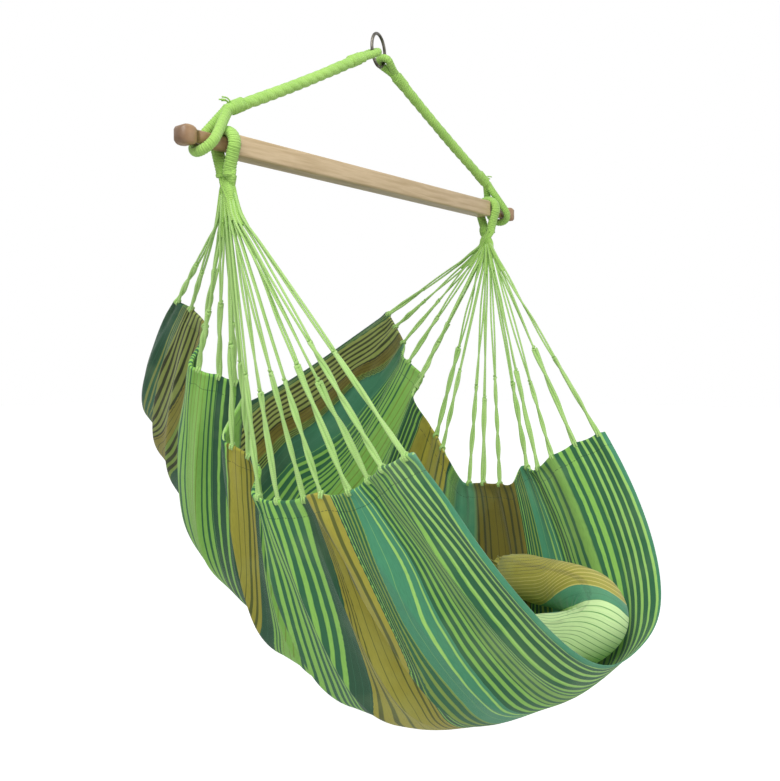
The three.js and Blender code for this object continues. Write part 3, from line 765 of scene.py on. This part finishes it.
def build_seat():
    grid, spans, outs, shares = seat_grid()
    columns = grid.shape[1]
    grid = grid + BAR_CENTRE
    normal = unit(np.cross(np.gradient(grid, axis=1), np.gradient(grid, axis=0)))
    edge = np.minimum(spans, spans[:, -1:] - spans)
    grid = grid + normal * seat_relief(outs, edge, shares)[..., None]
    grid[..., 2] -= hem_sag(shares)[:, None] * np.exp(-edge / SCALLOP_REACH)
    half = CLOTH_HALF + (SLEEVE_RADIUS - CLOTH_HALF) * np.clip(1 - edge / SEAM_DEPTH, 0, 1) ** 1.6
    out = normal * (half - bell(edge, SEAM_DEPTH, SEAM_WIDTH) * SEAM_PINCH)[..., None]

    def sleeve_end(column, inward):
        away = unit(grid[:, column] - grid[:, inward])
        made = []
        for a in np.radians(SLEEVE_ANGLES):
            spoke = math.cos(a) * away + math.sin(a) * normal[:, column]
            made.append(grid[:, column] + SLEEVE_RADIUS * spoke)
        return np.stack(made, axis=1)

    turns = len(SLEEVE_ANGLES)
    left_end = sleeve_end(0, 1)[:, ::-1]
    loop = np.concatenate([grid + out, sleeve_end(-1, -2), (grid - out)[:, ::-1], left_end], axis=1)
    round_loop = loop.shape[1]

    def wrap(table):
        ends = np.repeat(table[:, -1:], turns, axis=1), np.repeat(table[:, :1], turns, axis=1)
        return np.concatenate([table, ends[0], table[:, ::-1], ends[1]], axis=1)

    back = columns + turns
    closing = [(k, back + columns - 1 - k, back + columns - 2 - k, k + 1) for k in range(columns - 1)]
    closing.append((back, *range(back - 1, columns - 1, -1), columns - 1))
    closing.append((0, *range(round_loop - 1, back + columns - 1, -1), back + columns - 1))
    faces = ring_faces(ROWS, round_loop)
    faces += closing
    last = (ROWS - 1) * round_loop
    faces += [tuple(last + corner for corner in face[::-1]) for face in closing]
    stripe = stripe_places(shares, outs)
    uvs = np.stack([wrap(stripe), wrap(edge)], axis=2).reshape(-1, 2)
    q = stripe * 1000
    # The first attribute is painted shade towards the right hem; the second makes stripes there greener.
    tones = (("tone", wrap(banded_share(BROWN_SHADE_ROWS, outs, q))), ("wash", wrap(banded_share(WASHED, outs, q))))
    shape = loop.reshape(-1, 3), faces, uvs
    return make_mesh("seat_fabric", shape, seat_look, "seat", "seat_cloth", tones)


seat = build_seat()

# Suspension cords: two thin strings, a knot, then one plaited strand to a loop round the hem cord
KNOT_SIZE = 0.0054
KNOT_SCATTER = 0.012
STRING_POINTS = 33
STRAND_POINTS = 46
STRAND_RADIUS = 0.0039
STRAND_APART = 0.0030
WANDER = 0.001
half_places = np.linspace(0, LAST_STATION, 2 * LAST_STATION + 1)
half_stations = {side: hem_line(half_places, side) for _, side in SIDES}


def cord_ends(side, k):
    line = half_stations[side]
    place = FOOT_SHARES[k] * (len(line) - 1)
    low = int(place)
    foot = line[low] * (1 - place + low) + line[low + 1] * (place - low)
    row = (k % CORD_ROWS) - (CORD_ROWS - 1) / 2
    start = X * side * (HARNESS_X + row * CORD_ROW_PITCH) + Y * (k - (CORDS - 1) / 2) * CORD_SPACING
    return start + Z * (COLLAR_FOOT - TOUCH) + BAR_CENTRE, foot + BAR_CENTRE


def cord_path(side, start, foot):
    """A cord's middle line: down with its neighbours first, then straight to its foot."""
    drop = start[2] - foot[2]
    aside = (foot - start) * np.array([1, 1, 0]) * FAN_DROP / drop
    bend = start - Z * FAN_DROP + aside * FAN_OPEN[side]
    points = [start, start * 0.5 + bend * 0.5, bend]
    points += [bend + (foot - bend) * share for share in (0.12, 0.35, 0.65, 1.0)]
    return smooth_line(points, 0.004)


def knot(centre, direction, across):
    """A small overhand knot drawn tight about the strand: a turn and a half, longer than it is wide."""
    t = np.linspace(0, 1, 26)
    other = np.cross(direction, across)
    line = centre + turned(3 * math.pi * t, across, other, KNOT_SIZE * 0.5, KNOT_SIZE * 0.45)
    return tube(line + np.outer((t - 0.5) * KNOT_SIZE * 2.2, direction), KNOT_SIZE * 0.5, direction)


def build_cord(label, side, k):
    start, foot = cord_ends(side, k)
    rng = np.random.default_rng(100 * (side + 2) + k)
    middle = cord_path(side, start, foot)
    reach = lengths(middle)[-1]
    way = unit(foot - start)
    across = unit(np.cross(way, Y if abs(way[1]) < 0.9 else X))
    twist = rng.uniform(0, math.pi)
    flat = across * math.cos(twist) + np.cross(way, across) * math.sin(twist)
    edge_on = np.cross(way, flat)
    knot_at = KNOT_PLACES[k % len(KNOT_PLACES)] * reach + rng.uniform(-KNOT_SCATTER, KNOT_SCATTER)
    t = np.linspace(0, 1, STRING_POINTS)
    upper = along(middle, t * knot_at)
    bow = np.sin(math.pi * t) ** 0.6
    gap = rng.uniform(0.0008, 0.0026)
    turns = rng.choice([0.0, 0.5, 1.0, 1.5]) * rng.choice([-1, 1])
    ripple = np.outer(noise_line(STRING_POINTS, 7 * k + side + 50, 3) * WANDER * bow, flat)
    parts = []
    for out in (1, -1):
        offset = out * (CORD_THIN * 0.5 + gap * bow)
        line = upper + ripple + turned(math.pi * turns * t, flat, edge_on, offset, offset)
        parts.append(tube(line, CORD_THIN * 0.58, flat))
    parts.append(knot(upper[-1], unit(upper[-1] - upper[-2]), flat))
    down = np.linspace(0, reach - knot_at, STRAND_POINTS)
    lower = along(middle, knot_at + down)
    lower = lower + np.outer(noise_line(STRAND_POINTS, 11 * k + side + 90, 4) * WANDER, flat)
    pitch = rng.uniform(0.12, 0.3) * rng.choice([-1, 1])
    for phase in (0, math.pi):
        uneven = noise_line(STRAND_POINTS, 13 * k + side + 20 + int(phase), 4)
        width = STRAND_RADIUS * (1 + 0.14 * uneven)
        apart = STRAND_APART * (1 + 0.3 * noise_line(STRAND_POINTS, 17 * k + side + 60, 5))
        ply = lower + turned(2 * math.pi * down / pitch + phase, flat, edge_on, apart, apart * 0.8)
        parts.append(tube(ply, width, flat, squeeze=0.85))
    tag = f"{label}_{k + 1:02d}"
    cord = make_mesh(f"cord_{tag}", joined(parts), cord_lime, "seat", f"suspension_cord_{tag}")


for label, side in SIDES:
    for k in range(CORDS):
        build_cord(label, side, k)


# Loops of rope, drawn as one band from its throat round what it bears on and back
RING_FLAT = X * math.cos(RING_TURN) + Y * math.sin(RING_TURN)
RING_ACROSS = np.cross(Z, RING_FLAT)
WHIPPED_SIDES = 24


def loop_line(centre, away, sideways, bearing, reach, throat_half):
    tangent = math.acos(min(bearing / (reach - throat_half), 1))
    half = []
    for side in (1, -1):
        throat_edge = centre + sideways * side * throat_half
        points = [throat_edge + away * (reach - inset * throat_half) for inset in (0, 0.5, 1)]
        for angle in np.linspace(tangent, math.pi, 7):
            points.append(centre + bearing * (away * math.cos(angle) + sideways * side * math.sin(angle)))
        half.append(points)
    return smooth_line(half[0] + half[1][-2::-1], 0.0012)


def whipped(name, line, radius, first, body, squeeze, replaced=None, pitch=0.006, depth=0.13):
    """A cord wound closely with twine, whose turns stand out as ribs."""
    winding = np.abs(np.cos(math.pi * (lengths(line)[:, None] / pitch) + circle(WHIPPED_SIDES) / 2))
    wander = noise_line(len(line), len(name), 12)[:, None] * 0.03
    radii = radius * (1 - depth + depth * winding**0.7 + wander)
    shape = tube(line, radii, first, WHIPPED_SIDES, squeeze)
    make_mesh(name, shape, whip_look, body, replaced)


def bar_eye_apex(side):
    return np.array([side * (HARNESS_X + TOUCH), 0.0, BAR_EYE_RISE])


def ring_eye(side):
    apex = bar_eye_apex(side)
    slope = math.atan2(RING_RISE - apex[2], abs(apex[0]))
    radial = side * RING_FLAT * math.cos(slope) - Z * math.sin(slope)
    centre = Z * RING_RISE + radial * RING_RADIUS
    away = unit(apex - centre)
    sideways = unit(RING_ACROSS - away * np.dot(RING_ACROSS, away))
    bearing = RING_WIRE + BEARING_GAP + EYE_RADIUS
    return centre, away, sideways, bearing, RING_EYE_REACH, ROPE_RADIUS - EYE_RADIUS


def bar_eye(side):
    apex = bar_eye_apex(side)
    bottom = np.array([side * (BAR_HALF - BAR_EYE_INSET), 0.0, -(NECK_RADIUS + RUNNING + EYE_RADIUS)])
    away = unit(apex - bottom)
    tilt = abs(away[0]) / away[2]
    bearing = NECK_RADIUS + RUNNING + EYE_RADIUS + EYE_RADIUS * tilt**2 / 2
    centre = bottom + away * bearing
    return centre, away, Y, bearing, np.linalg.norm(apex - centre), ROPE_RADIUS - EYE_RADIUS


def throat(loop):
    return loop[0] + loop[1] * loop[4]


ROPE_LAY = 0.075
ROPE_STRANDS = 3
ROPE_SIDES = 36


def laid_rope(name, line, radius, body, replaced):
    """A rope of three soft strands."""
    turn = circle(ROPE_SIDES) - 2 * math.pi * lengths(line)[:, None] / ROPE_LAY
    lobe = np.abs(np.cos(turn * ROPE_STRANDS / 2))
    bumps = noise_line(len(line), len(name) + 4, 8)[:, None] * 0.035
    table = radius * (0.84 + 0.16 * lobe**0.75 + bumps)
    make_mesh(name, tube(line, table, Y, ROPE_SIDES), rope_look, body, replaced)


ROPE_SAG = 0.004
ROPE_OVERLAP = 0.004
SEIZING_TWINE = 0.0012
SEIZING_START = 0.010
SEIZING_LENGTH = 0.030

for label, side in SIDES:
    upper, lower = ring_eye(side), bar_eye(side)
    top, foot = throat(upper) + BAR_CENTRE, throat(lower) + BAR_CENTRE
    fall = unit(foot - top)
    middle = [top + (foot - top) * s - Z * ROPE_SAG * math.sin(math.pi * s) for s in np.linspace(0, 1, 6)]
    middle[0] = top - fall * ROPE_OVERLAP
    middle[-1] = foot + fall * ROPE_OVERLAP
    line = smooth_line(middle, 0.0025)
    laid_rope(f"rope_{label}", line, ROPE_RADIUS * 0.97, "yoke", f"yoke_rope_{label}")
    for tag, loop, width in (("upper", upper, EYE_RADIUS), ("lower", lower, EYE_RADIUS * 1.2)):
        line = loop_line(*loop) + BAR_CENTRE
        across = np.cross(loop[1], loop[2])
        whipped(f"eye_{tag}_{label}", line, width, across, "yoke", EYE_RADIUS / width)
    for tag, point, way in (("ring", top, fall), ("bar", foot, -fall)):
        line = point + np.outer(SEIZING_START + np.linspace(0, SEIZING_LENGTH, 61), way)
        name, node = f"seizing_{tag}_{label}", f"{tag}_seizing_{label}"
        whipped(name, line, ROPE_RADIUS + SEIZING_TWINE, Z, "yoke", 1.0, node, pitch=0.003, depth=0.07)
    strand = HARNESS_STRAND / 2
    centre = X * side * (HARNESS_X + 0.0045)
    bearing = NECK_RADIUS + RUNNING + strand * 0.97
    line = loop_line(centre, -Z, Y, bearing, HARNESS_REACH, strand + TOUCH / 2) + BAR_CENTRE
    whipped(f"harness_{label}", line, strand * 1.42, X, "seat", 0.68, f"harness_loop_{label}")


# The ends of the seizing twine stick out at the bar
TWINE_RADIUS = 0.0015


def build_tails(label, side):
    rng = np.random.default_rng(70 + side)
    loop = bar_eye(side)
    root = throat(loop) + BAR_CENTRE
    up_rope = unit(throat(ring_eye(side)) - throat(loop))
    over = unit(np.cross(Y, up_rope))
    over = over * np.sign(over[2])
    parts = []
    for k in range(4):
        lift = over * rng.uniform(0.6, 1.0) - up_rope * rng.uniform(0.6, 1.3) + Y * rng.uniform(-0.5, 0.5)
        begin = root + up_rope * 0.012 + over * (ROPE_RADIUS - 0.003) + Y * rng.uniform(-0.004, 0.004)
        length = rng.uniform(0.016, 0.027)
        points = [begin, begin + unit(lift + over) * length * 0.5, begin + unit(lift) * length]
        parts.append(tube(smooth_line(points, 0.002), TWINE_RADIUS, Y))
    make_mesh(f"twine_ends_{label}", joined(parts), whip_look, "yoke")


# Gathers: the loop's two limbs cross and open into the strings of the fan. Each row: metres across the
# bar, out along it for both limbs, out for one and in for the other, and up.
GATHER_LIMB = (
    (0.0105, 0.0, 0.0, COLLAR_TOP + 0.014),
    (0.0095, 0.001, 0.0, COLLAR_TOP + 0.002),
    (0.002, 0.0, 0.0045, COLLAR_TOP - 0.013),
    (-0.0085, 0.0, 0.004, COLLAR_FOOT + 0.001),
    (-0.0095, 0.0, 0.003, COLLAR_FOOT - 0.020),
    (-0.0080, 0.0, 0.002, COLLAR_FOOT - 0.042),
)
GATHER_STRING = (
    (0.012, 0.0, 0.009, COLLAR_TOP + 0.004),
    (0.003, 0.0, 0.0115, COLLAR_TOP - 0.016),
    (-0.009, 0.0, 0.0085, COLLAR_FOOT - 0.012),
    (-0.016, 0.0, 0.002, COLLAR_FOOT - 0.052),
)
LIMB_RADIUS = 0.0118
LIMB_TAPER = 0.0068
LIMB_RIB_PITCH = 0.0068
LIMB_RIB_RISE = 0.0006
STRING_RADIUS = 0.0027


def build_gather(label, side):
    centre = X * side * HARNESS_X + BAR_CENTRE

    def crossing(rows, way, step):
        points = [centre + Y * way * y + X * side * (both + way * one) + Z * z for y, both, one, z in rows]
        return smooth_line(points, step)

    parts = []
    for way in (1, -1):
        line = crossing(GATHER_LIMB, way, 0.001)
        at = lengths(line) / lengths(line)[-1]
        ribs = np.abs(np.cos(math.pi * lengths(line) / LIMB_RIB_PITCH)) * LIMB_RIB_RISE * (1 - at)
        parts.append(tube(line, LIMB_RADIUS - LIMB_TAPER * at**1.5 + ribs, Y, 20, squeeze=0.66))
    rng = np.random.default_rng(40 + side)
    for k in range(CORDS):
        start, foot = cord_ends(side, k)
        fan = cord_path(side, start, foot)
        top = centre + (start - centre) * np.array([0.9, 0.6, 0]) + Z * (COLLAR_TOP - 0.008)
        half_way, out = along(fan, np.array([0.5, 1.0]) * rng.uniform(0.055, 0.09))
        sway = Y * rng.uniform(-0.0025, 0.0025) + X * rng.uniform(-0.002, 0.002)
        for aside in (-sway, sway):
            points = [top, (top + start) / 2 + aside, start + aside, half_way + aside, out]
            parts.append(tube(smooth_line(points, 0.004), STRING_RADIUS, Y))
    for way in (1, -1):
        parts.append(tube(crossing(GATHER_STRING, way, 0.002), 0.0026, Y))
    make_mesh(f"gather_{label}", joined(parts), whip_look, "seat", f"harness_seizing_{label}")


# Hem cords, with the turns by which each suspension cord holds them
TURN_WIDE = 0.0068
TURN_HIGH = 0.0058
TURN_APART = 0.0048
TURN_RADIUS = 0.0022


def build_hem_cord(label, side):
    places = np.linspace(0, LAST_STATION, 300)
    line = hem_line(places, side) + BAR_CENTRE
    line[:, 2] -= hem_sag(length_shares(places))
    shape = tube(line, HEM_CORD / 2, Z, 10)
    cord = make_mesh(f"hem_rope_{label}", shape, cord_lime, "seat", f"hem_cord_{label}")
    turns = []
    t = np.linspace(0, 2 * math.pi, 19)
    for k in range(CORDS):
        start, foot = cord_ends(side, k)
        i = int(np.argmin(np.linalg.norm(line - foot, axis=1)))
        run = unit(line[min(i + 1, len(line) - 1)] - line[max(i - 1, 0)])
        across = unit(np.cross(run, start - foot))
        ring = foot + turned(t, unit(np.cross(across, run)), across, TURN_WIDE, TURN_HIGH)
        for step in (-TURN_APART / 2, TURN_APART / 2):
            turns.append(tube(ring + run * step, TURN_RADIUS, run))
    loops = make_mesh(f"hem_turns_{label}", joined(turns), cord_lime, "seat")
    loops.parent = cord.parent


for build in (build_tails, build_gather, build_hem_cord):
    for label, side in SIDES:
        build(label, side)


# Spreader bar. The knob's outline: shares of its radius, along the bar and out from it.
KNOB_OUTLINE = (
    (-0.84, 0.78), (-0.78, 0.86), (-0.66, 0.95), (-0.48, 1.02), (-0.25, 1.06), (0.0, 1.08),
    (0.22, 1.07), (0.42, 1.03), (0.58, 0.96), (0.72, 0.85), (0.83, 0.71), (0.91, 0.55), (0.96, 0.39),
    (0.985, 0.23), (1.0, 0.03),
)


def build_bar():
    """A square bar with eased edges between two shoulders, and a turned neck and ball beyond each."""
    half = BAR_SIDE / 2 - BAR_EDGE
    corner = []
    for quarter in range(4):
        for k in range(6):
            a = quarter * math.pi / 2 + k * math.pi / 10
            cx = half * (1 if quarter in (0, 3) else -1)
            cz = half * (1 if quarter in (0, 1) else -1)
            corner.append((cx + BAR_EDGE * math.cos(a), cz + BAR_EDGE * math.sin(a)))
    square = np.array(corner)
    disc = unit(square)
    neck = disc * NECK_RADIUS
    neck_start = SHOULDER_X + 0.0012
    stations = [
        (0.0, square),
        (SHOULDER_X - 0.0032, square),
        (SHOULDER_X - 0.0012, square * 0.975),
        (SHOULDER_X - 0.0002, square * 0.93),
        (SHOULDER_X, square * 0.90),
        (SHOULDER_X + 0.0001, disc * (NECK_RADIUS + 0.001)),
        (neck_start, neck),
    ]
    knob = BAR_HALF - KNOB_RADIUS
    neck_end = knob - math.sqrt(KNOB_RADIUS**2 - NECK_RADIUS**2)
    stations += [(neck_start + (neck_end - neck_start) * s, neck) for s in np.linspace(0.15, 0.98, 8)]
    stations += [(knob + KNOB_RADIUS * x, disc * KNOB_RADIUS * share) for x, share in KNOB_OUTLINE]
    rows = [(-x, ring) for x, ring in stations[::-1]][:-1] + stations
    points = np.array([[(x, p[0], p[1]) for p in ring] for x, ring in rows]).reshape(-1, 3) + BAR_CENTRE
    count = len(square)
    faces = ring_faces(len(rows), count)
    faces.append(tuple(range(count))[::-1])
    faces.append(tuple((len(rows) - 1) * count + k for k in range(count)))
    make_mesh("bar", (points, faces, None), wood_look(), "bar", "spreader_bar")


build_bar()


# Ring, with the bead of its weld
WELD_ANGLE = math.radians(300)
WELD_WIDTH = 0.05
WELD_RISE = 0.10


def build_ring():
    t = np.linspace(0, 2 * math.pi, 121)
    line = BAR_CENTRE + Z * RING_RISE + turned(t, RING_FLAT, Z, RING_RADIUS, RING_RADIUS)
    wire = RING_WIRE * (1 + WELD_RISE * bell(t, WELD_ANGLE, WELD_WIDTH))
    shape = tube(line, wire, -RING_ACROSS, 20)
    make_mesh("ring", shape, steel_look(), "ring", "hanging_ring")


build_ring()

# Cushion. Its middle line: shares of the hem's half width, of its front reach and of the seat's depth.
CUSHION_AXIS = (
    (0.79, -0.47, 0.776), (0.69, -0.66, 0.781), (0.61, -0.84, 0.783), (0.545, -1.01, 0.779),
    (0.485, -1.16, 0.778), (0.44, -1.29, 0.787), (0.375, -1.35, 0.809), (0.32, -1.28, 0.838),
    (0.295, -1.11, 0.856), (0.3, -0.91, 0.866), (0.32, -0.72, 0.874),
)
# How it swells: shares of the way from an end, and of the radius that it has beyond its neck's
CUSHION_SWELL = (
    (0.0, 0.14), (0.02, 0.0), (0.036, 0.0), (0.056, 0.36), (0.08, 0.6), (0.115, 0.8), (0.155, 0.92),
    (0.2, 0.98), (0.25, 1.0), (0.3, 1.0), (0.345, 0.98), (0.38, 0.95), (0.41, 0.92), (0.44, 0.9),
    (0.47, 0.89), (0.5, 0.89),
)
CUSHION_RADIUS = 0.05
CUSHION_NECK = 0.011
SEAT_BOTTOM = 1.18
CUSHION_SIDES = 56
CUSHION_RINGS = 150
CUSHION_SPAN = 620.0
CUSHION_PITCH = 12.0
SEATING_WAY = unit(X - Z)
CUSHION_CAP = 0.006


def cushion_axis():
    reach = np.array([HEM_HALF_WIDTH, HEM_FRONT, -SEAT_BOTTOM])
    fine = spline(np.array(CUSHION_AXIS) * reach, np.linspace(0, len(CUSHION_AXIS) - 1, 1601))
    total = lengths(fine)[-1]
    return along(fine, np.linspace(0, total, 1001)), total


def cushion_frame(line, share):
    at = int(round(share * (len(line) - 1)))
    k = min(at, len(line) - 2)
    return line[at], unit(line[k + 1] - line[max(k - 1, 0)])


# The cushion's stripes, counted down from above the upper limb, in rows like those of BANDS
CUSHION_STRIPES = (
    (0, "olive", "brown", 0.12), (60, "olive", "straw", 0.16), (108, "olive", "straw", 0.26),
    (160, "teal", "dark", 0.0), (186, "mint", "stem", 0.14), (300, "mint", "stem", 0.2),
)
# The teal stripe arches over the bend. Each row: metres aside of the bend, and the stripe's upper and
# lower edge above the bend. They are counted on a plane that leans over the upper limb.
ARCH_SIDE = VIEW_SIDE - 0.238 * VIEW_DEPTH
ARCH_UP = Z + 0.253 * VIEW_DEPTH
CUSHION_ARCH = (
    (-0.275, -0.017, -0.025), (-0.145, -0.017, -0.025), (-0.105, -0.014, -0.029), (-0.087, -0.003, -0.031),
    (-0.066, 0.013, -0.029), (-0.035, 0.027, -0.017), (-0.005, 0.026, -0.006), (0.02, 0.019, -0.005),
    (0.045, 0.005, -0.015), (0.066, -0.013, -0.033), (0.085, -0.037, -0.055), (0.125, -0.087, -0.107),
)
TEAL_START = CUSHION_STRIPES[3][0]
MINT_START = CUSHION_STRIPES[4][0]
OLIVE_CLOSER = 1.6
MINT_SLOPE = 0.55
MINT_RISE = -0.002
MINT_TURN = 0.06


def cushion_level(aside, up):
    """Millimetres across the cushion's stripes for a place beside and above its bend."""
    arch = spline(CUSHION_ARCH, np.linspace(0, len(CUSHION_ARCH) - 1, 400))
    top = np.interp(aside, arch[:, 0], arch[:, 1])
    foot = np.interp(aside, arch[:, 0], arch[:, 2])
    olive = TEAL_START - 1000 * OLIVE_CLOSER * (up - top)
    teal = TEAL_START + (MINT_START - TEAL_START) * (top - up) / (top - foot)
    sloping = np.clip((foot - up) / MINT_TURN, 0, 1) * (MINT_RISE - MINT_SLOPE * aside - foot)
    mint = MINT_START + 1000 * (foot - up + sloping)
    return np.where(up > top, olive, np.where(up > foot, teal, mint))


def cushion_grid():
    """The cushion's rings of points with their UVs, and its middle line."""
    line, total = cushion_axis()
    bend = line[len(line) // 2]
    plane = unit(np.cross(line[0] - bend, line[-1] - bend))
    inward = unit(line[0] + line[-1] - 2 * bend)
    ends, swell = np.array(CUSHION_SWELL).T
    rings, uvs = [], []
    angles = circle(CUSHION_SIDES)
    phases = np.random.default_rng(8).uniform(0, 2 * math.pi, 6)
    for share in np.concatenate([[0.0], np.linspace(0.004, 0.996, CUSHION_RINGS - 2), [1.0]]):
        centre, tangent = cushion_frame(line, share)
        first = unit(plane - np.dot(plane, tangent) * tangent)
        spoke = turned(angles, first, np.cross(tangent, first))
        end = min(share, 1 - share)
        radius = CUSHION_NECK + (CUSHION_RADIUS - CUSHION_NECK) * np.interp(end, ends, swell)
        radius = radius * (1 + 0.12 * ease(0.3, 0.5, share) * (1 - ease(0.8, 0.97, share)))
        gather = 0.16 * bell(end, 0.045, 0.035) * np.cos(9 * angles + phases[0])
        gather += 0.07 * bell(end, 0.09, 0.05) * np.cos(5 * angles + phases[1] + 6 * share)
        soft = 0.03 * np.sin(3 * angles + phases[2] + 14 * share) * math.sin(math.pi * share)
        crease = 0.09 * np.clip(spoke @ inward, 0, 1) * bell(share, 0.5, 0.14)
        crease = crease * math.sin(68 * math.pi * share)
        points = centre + (radius * (1 + gather + soft + crease))[:, None] * spoke
        rings.append(points)
        level = cushion_level((points - bend) @ ARCH_SIDE, (points - bend) @ ARCH_UP) / 1000
        uvs.append(np.stack([level, share * total + 0.3 * angles * CUSHION_RADIUS], axis=1))
    return np.array(rings), np.array(uvs), line


CLOTH_FRAMES = 18
CLOTH_SETTINGS = {
    "quality": 6,
    "mass": 0.2,
    "tension_stiffness": 12,
    "compression_stiffness": 12,
    "shear_stiffness": 4,
    "bending_stiffness": 0.25,
    "use_pressure": True,
    "uniform_pressure_force": 4.0,
    "shrink_min": -0.03,
}


def relax_cloth(piece):
    """Lets a closed cover swell and wrinkle as cloth does, and holds each point near where it began."""
    rest = np.zeros(len(piece.data.vertices) * 3)
    piece.data.vertices.foreach_get("co", rest)
    rest = rest.reshape(-1, 3)
    sim = piece.copy()
    sim.data = piece.data.copy()
    bpy.context.scene.collection.objects.link(sim)
    sim.parent = None
    cloth = sim.modifiers.new("cloth", "CLOTH")
    for key, value in CLOTH_SETTINGS.items():
        setattr(cloth.settings, key, value)
    cloth.settings.effector_weights.gravity = 0
    cloth.point_cache.frame_start = 1
    cloth.point_cache.frame_end = CLOTH_FRAMES
    for number in range(1, CLOTH_FRAMES + 1):
        bpy.context.scene.frame_set(number)
    shaped = sim.evaluated_get(bpy.context.evaluated_depsgraph_get())
    moved = np.zeros(len(rest) * 3)
    shaped.data.vertices.foreach_get("co", moved)
    moved = moved.reshape(-1, 3) - rest
    far = np.linalg.norm(moved, axis=1, keepdims=True)
    moved *= np.minimum(1, CUSHION_CAP / np.maximum(far, 1e-9))
    piece.data.vertices.foreach_set("co", (rest + moved).ravel())
    piece.data.update()
    mesh = sim.data
    bpy.data.objects.remove(sim)
    bpy.data.meshes.remove(mesh)
    bpy.context.scene.frame_set(1)


TIE_PITCH = 0.0032
TIE_RADIUS = 0.0017
TIE_END_RADIUS = 0.0013


def build_tie(line, label, share, way, rng):
    centre, tangent = cushion_frame(line, share)
    first = unit(np.cross(tangent, Z))
    second = np.cross(tangent, first)
    t = np.linspace(0, 2, 60)
    radius = CUSHION_NECK + TIE_PITCH
    wound = centre + turned(2 * math.pi * t, first, second, radius, radius)
    parts = [tube(wound + np.outer((t - 1) * TIE_PITCH, tangent), TIE_RADIUS, tangent)]
    for k in range(5):
        a = rng.uniform(0, 2 * math.pi)
        out = first * math.cos(a) + second * math.sin(a)
        length = rng.uniform(0.02, 0.04)
        bend = unit(out * 0.5 + tangent * way + Z * rng.uniform(-0.9, 0.1))
        start = centre + out * radius * 0.7
        points = [start, start + tangent * way * length * 0.3 + out * 0.004, start + bend * length]
        parts.append(tube(smooth_line(points, 0.002), TIE_END_RADIUS, out, 6))
    node = f"cushion_tie_{label}"
    make_mesh(f"bolster_tie_{label}", joined(parts), tie_look, "cushion", node)


def build_cushion():
    rings, uvs, line = cushion_grid()
    low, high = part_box("cushion")
    target = (np.array(low) + np.array(high)) / 2
    now = (rings.min(axis=(0, 1)) + rings.max(axis=(0, 1))) / 2 + BAR_CENTRE
    slide = BAR_CENTRE + SEATING_WAY * np.dot(target - now, SEATING_WAY)
    rings = rings + slide
    line = line + slide
    count = CUSHION_SIDES
    points = np.vstack([rings.reshape(-1, 3), rings[0].mean(axis=0), rings[-1].mean(axis=0)])
    coordinates = np.vstack([uvs.reshape(-1, 2), uvs[0].mean(axis=0), uvs[-1].mean(axis=0)])
    faces = []
    last = len(rings) - 1
    for k in range(count):
        j = (k + 1) % count
        for i in range(last):
            faces.append((i * count + k, i * count + j, (i + 1) * count + j, (i + 1) * count + k))
        faces.append((len(rings) * count, j, k))
        faces.append((len(rings) * count + 1, last * count + k, last * count + j))
    look = woven_look("cushion_cloth_look", CUSHION_STRIPES, CUSHION_SPAN, CUSHION_PITCH)
    cushion = make_mesh("bolster", (points, faces, coordinates), look, None)
    relax_cloth(cushion)
    smooth = cushion.modifiers.new("smooth", "SUBSURF")
    smooth.levels = 1
    smooth.render_levels = 1
    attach(cushion, "cushion")
    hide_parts("cushion")
    tie_share = (CUSHION_SWELL[1][0] + CUSHION_SWELL[2][0]) / 2
    rng = np.random.default_rng(4)
    build_tie(line, "upper", tie_share, -1, rng)
    build_tie(line, "lower", 1 - tie_share, 1, rng)


build_cushion()

# Floor, backdrop and light
FLOOR_Z = -1.95
FLOOR_HALF = 30.0
FLOOR_GLOW = 0.62
PLAIN_FLOOR = 0.9
AMBIENT = 0.5
KEY_WATTS = 62.0
FILL_WATTS = 14.0
AIM = (0.0, 0.0, -0.95)


def build_stage():
    mesh = bpy.data.meshes.new("floor")
    w = FLOOR_HALF
    corners = [(-w, -w, FLOOR_Z), (w, -w, FLOOR_Z), (w, w, FLOOR_Z), (-w, w, FLOOR_Z)]
    mesh.from_pydata(corners, [], [(0, 1, 2, 3)])
    floor = added("floor", mesh)
    look = Look("floor_look", 0.9)
    colour = look.ramp(look.noise(1.5, 3.0), [(0.0, grey(PLAIN_FLOOR * 0.98)), (1.0, grey(PLAIN_FLOOR))])
    light = look.node("ShaderNodeLightPath")
    look.shader["Emission Color"].default_value = WHITE
    look.put(look.times(light.outputs["Is Camera Ray"], FLOOR_GLOW), look.shader["Emission Strength"])
    mesh.materials.append(look.finish(colour))


def build_world():
    world = bpy.data.worlds.new("studio")
    bpy.context.scene.world = world
    world.use_nodes = True
    nodes = Nodes(world.node_tree)
    ground = nodes.tree.nodes["Background"].inputs
    ground["Color"].default_value = WHITE
    rays = nodes.node("ShaderNodeLightPath").outputs
    seen = rays["Is Camera Ray"]
    for name in ("Is Glossy Ray", "Is Transmission Ray"):
        seen = nodes.math("MAXIMUM", seen, rays[name])
    nodes.put(nodes.math("MULTIPLY_ADD", seen, 1 - AMBIENT, AMBIENT), ground["Strength"])


def lamp(name, place, size, watts):
    data = bpy.data.lights.new(name, "AREA")
    data.shape = "DISK"
    data.size = size
    data.energy = watts
    made = added(name, data)
    made.location = place
    way = unit(np.array(place) - AIM)
    made.rotation_euler = (math.acos(way[2]), 0.0, math.atan2(way[0], -way[1]))


build_stage()
build_world()
lamp("key", (-1.9, -1.1, 1.3), 2.2, KEY_WATTS)
lamp("fill", (1.2, -2.6, 0.1), 2.4, FILL_WATTS)
bpy.context.scene.view_settings.view_transform = "Standard"
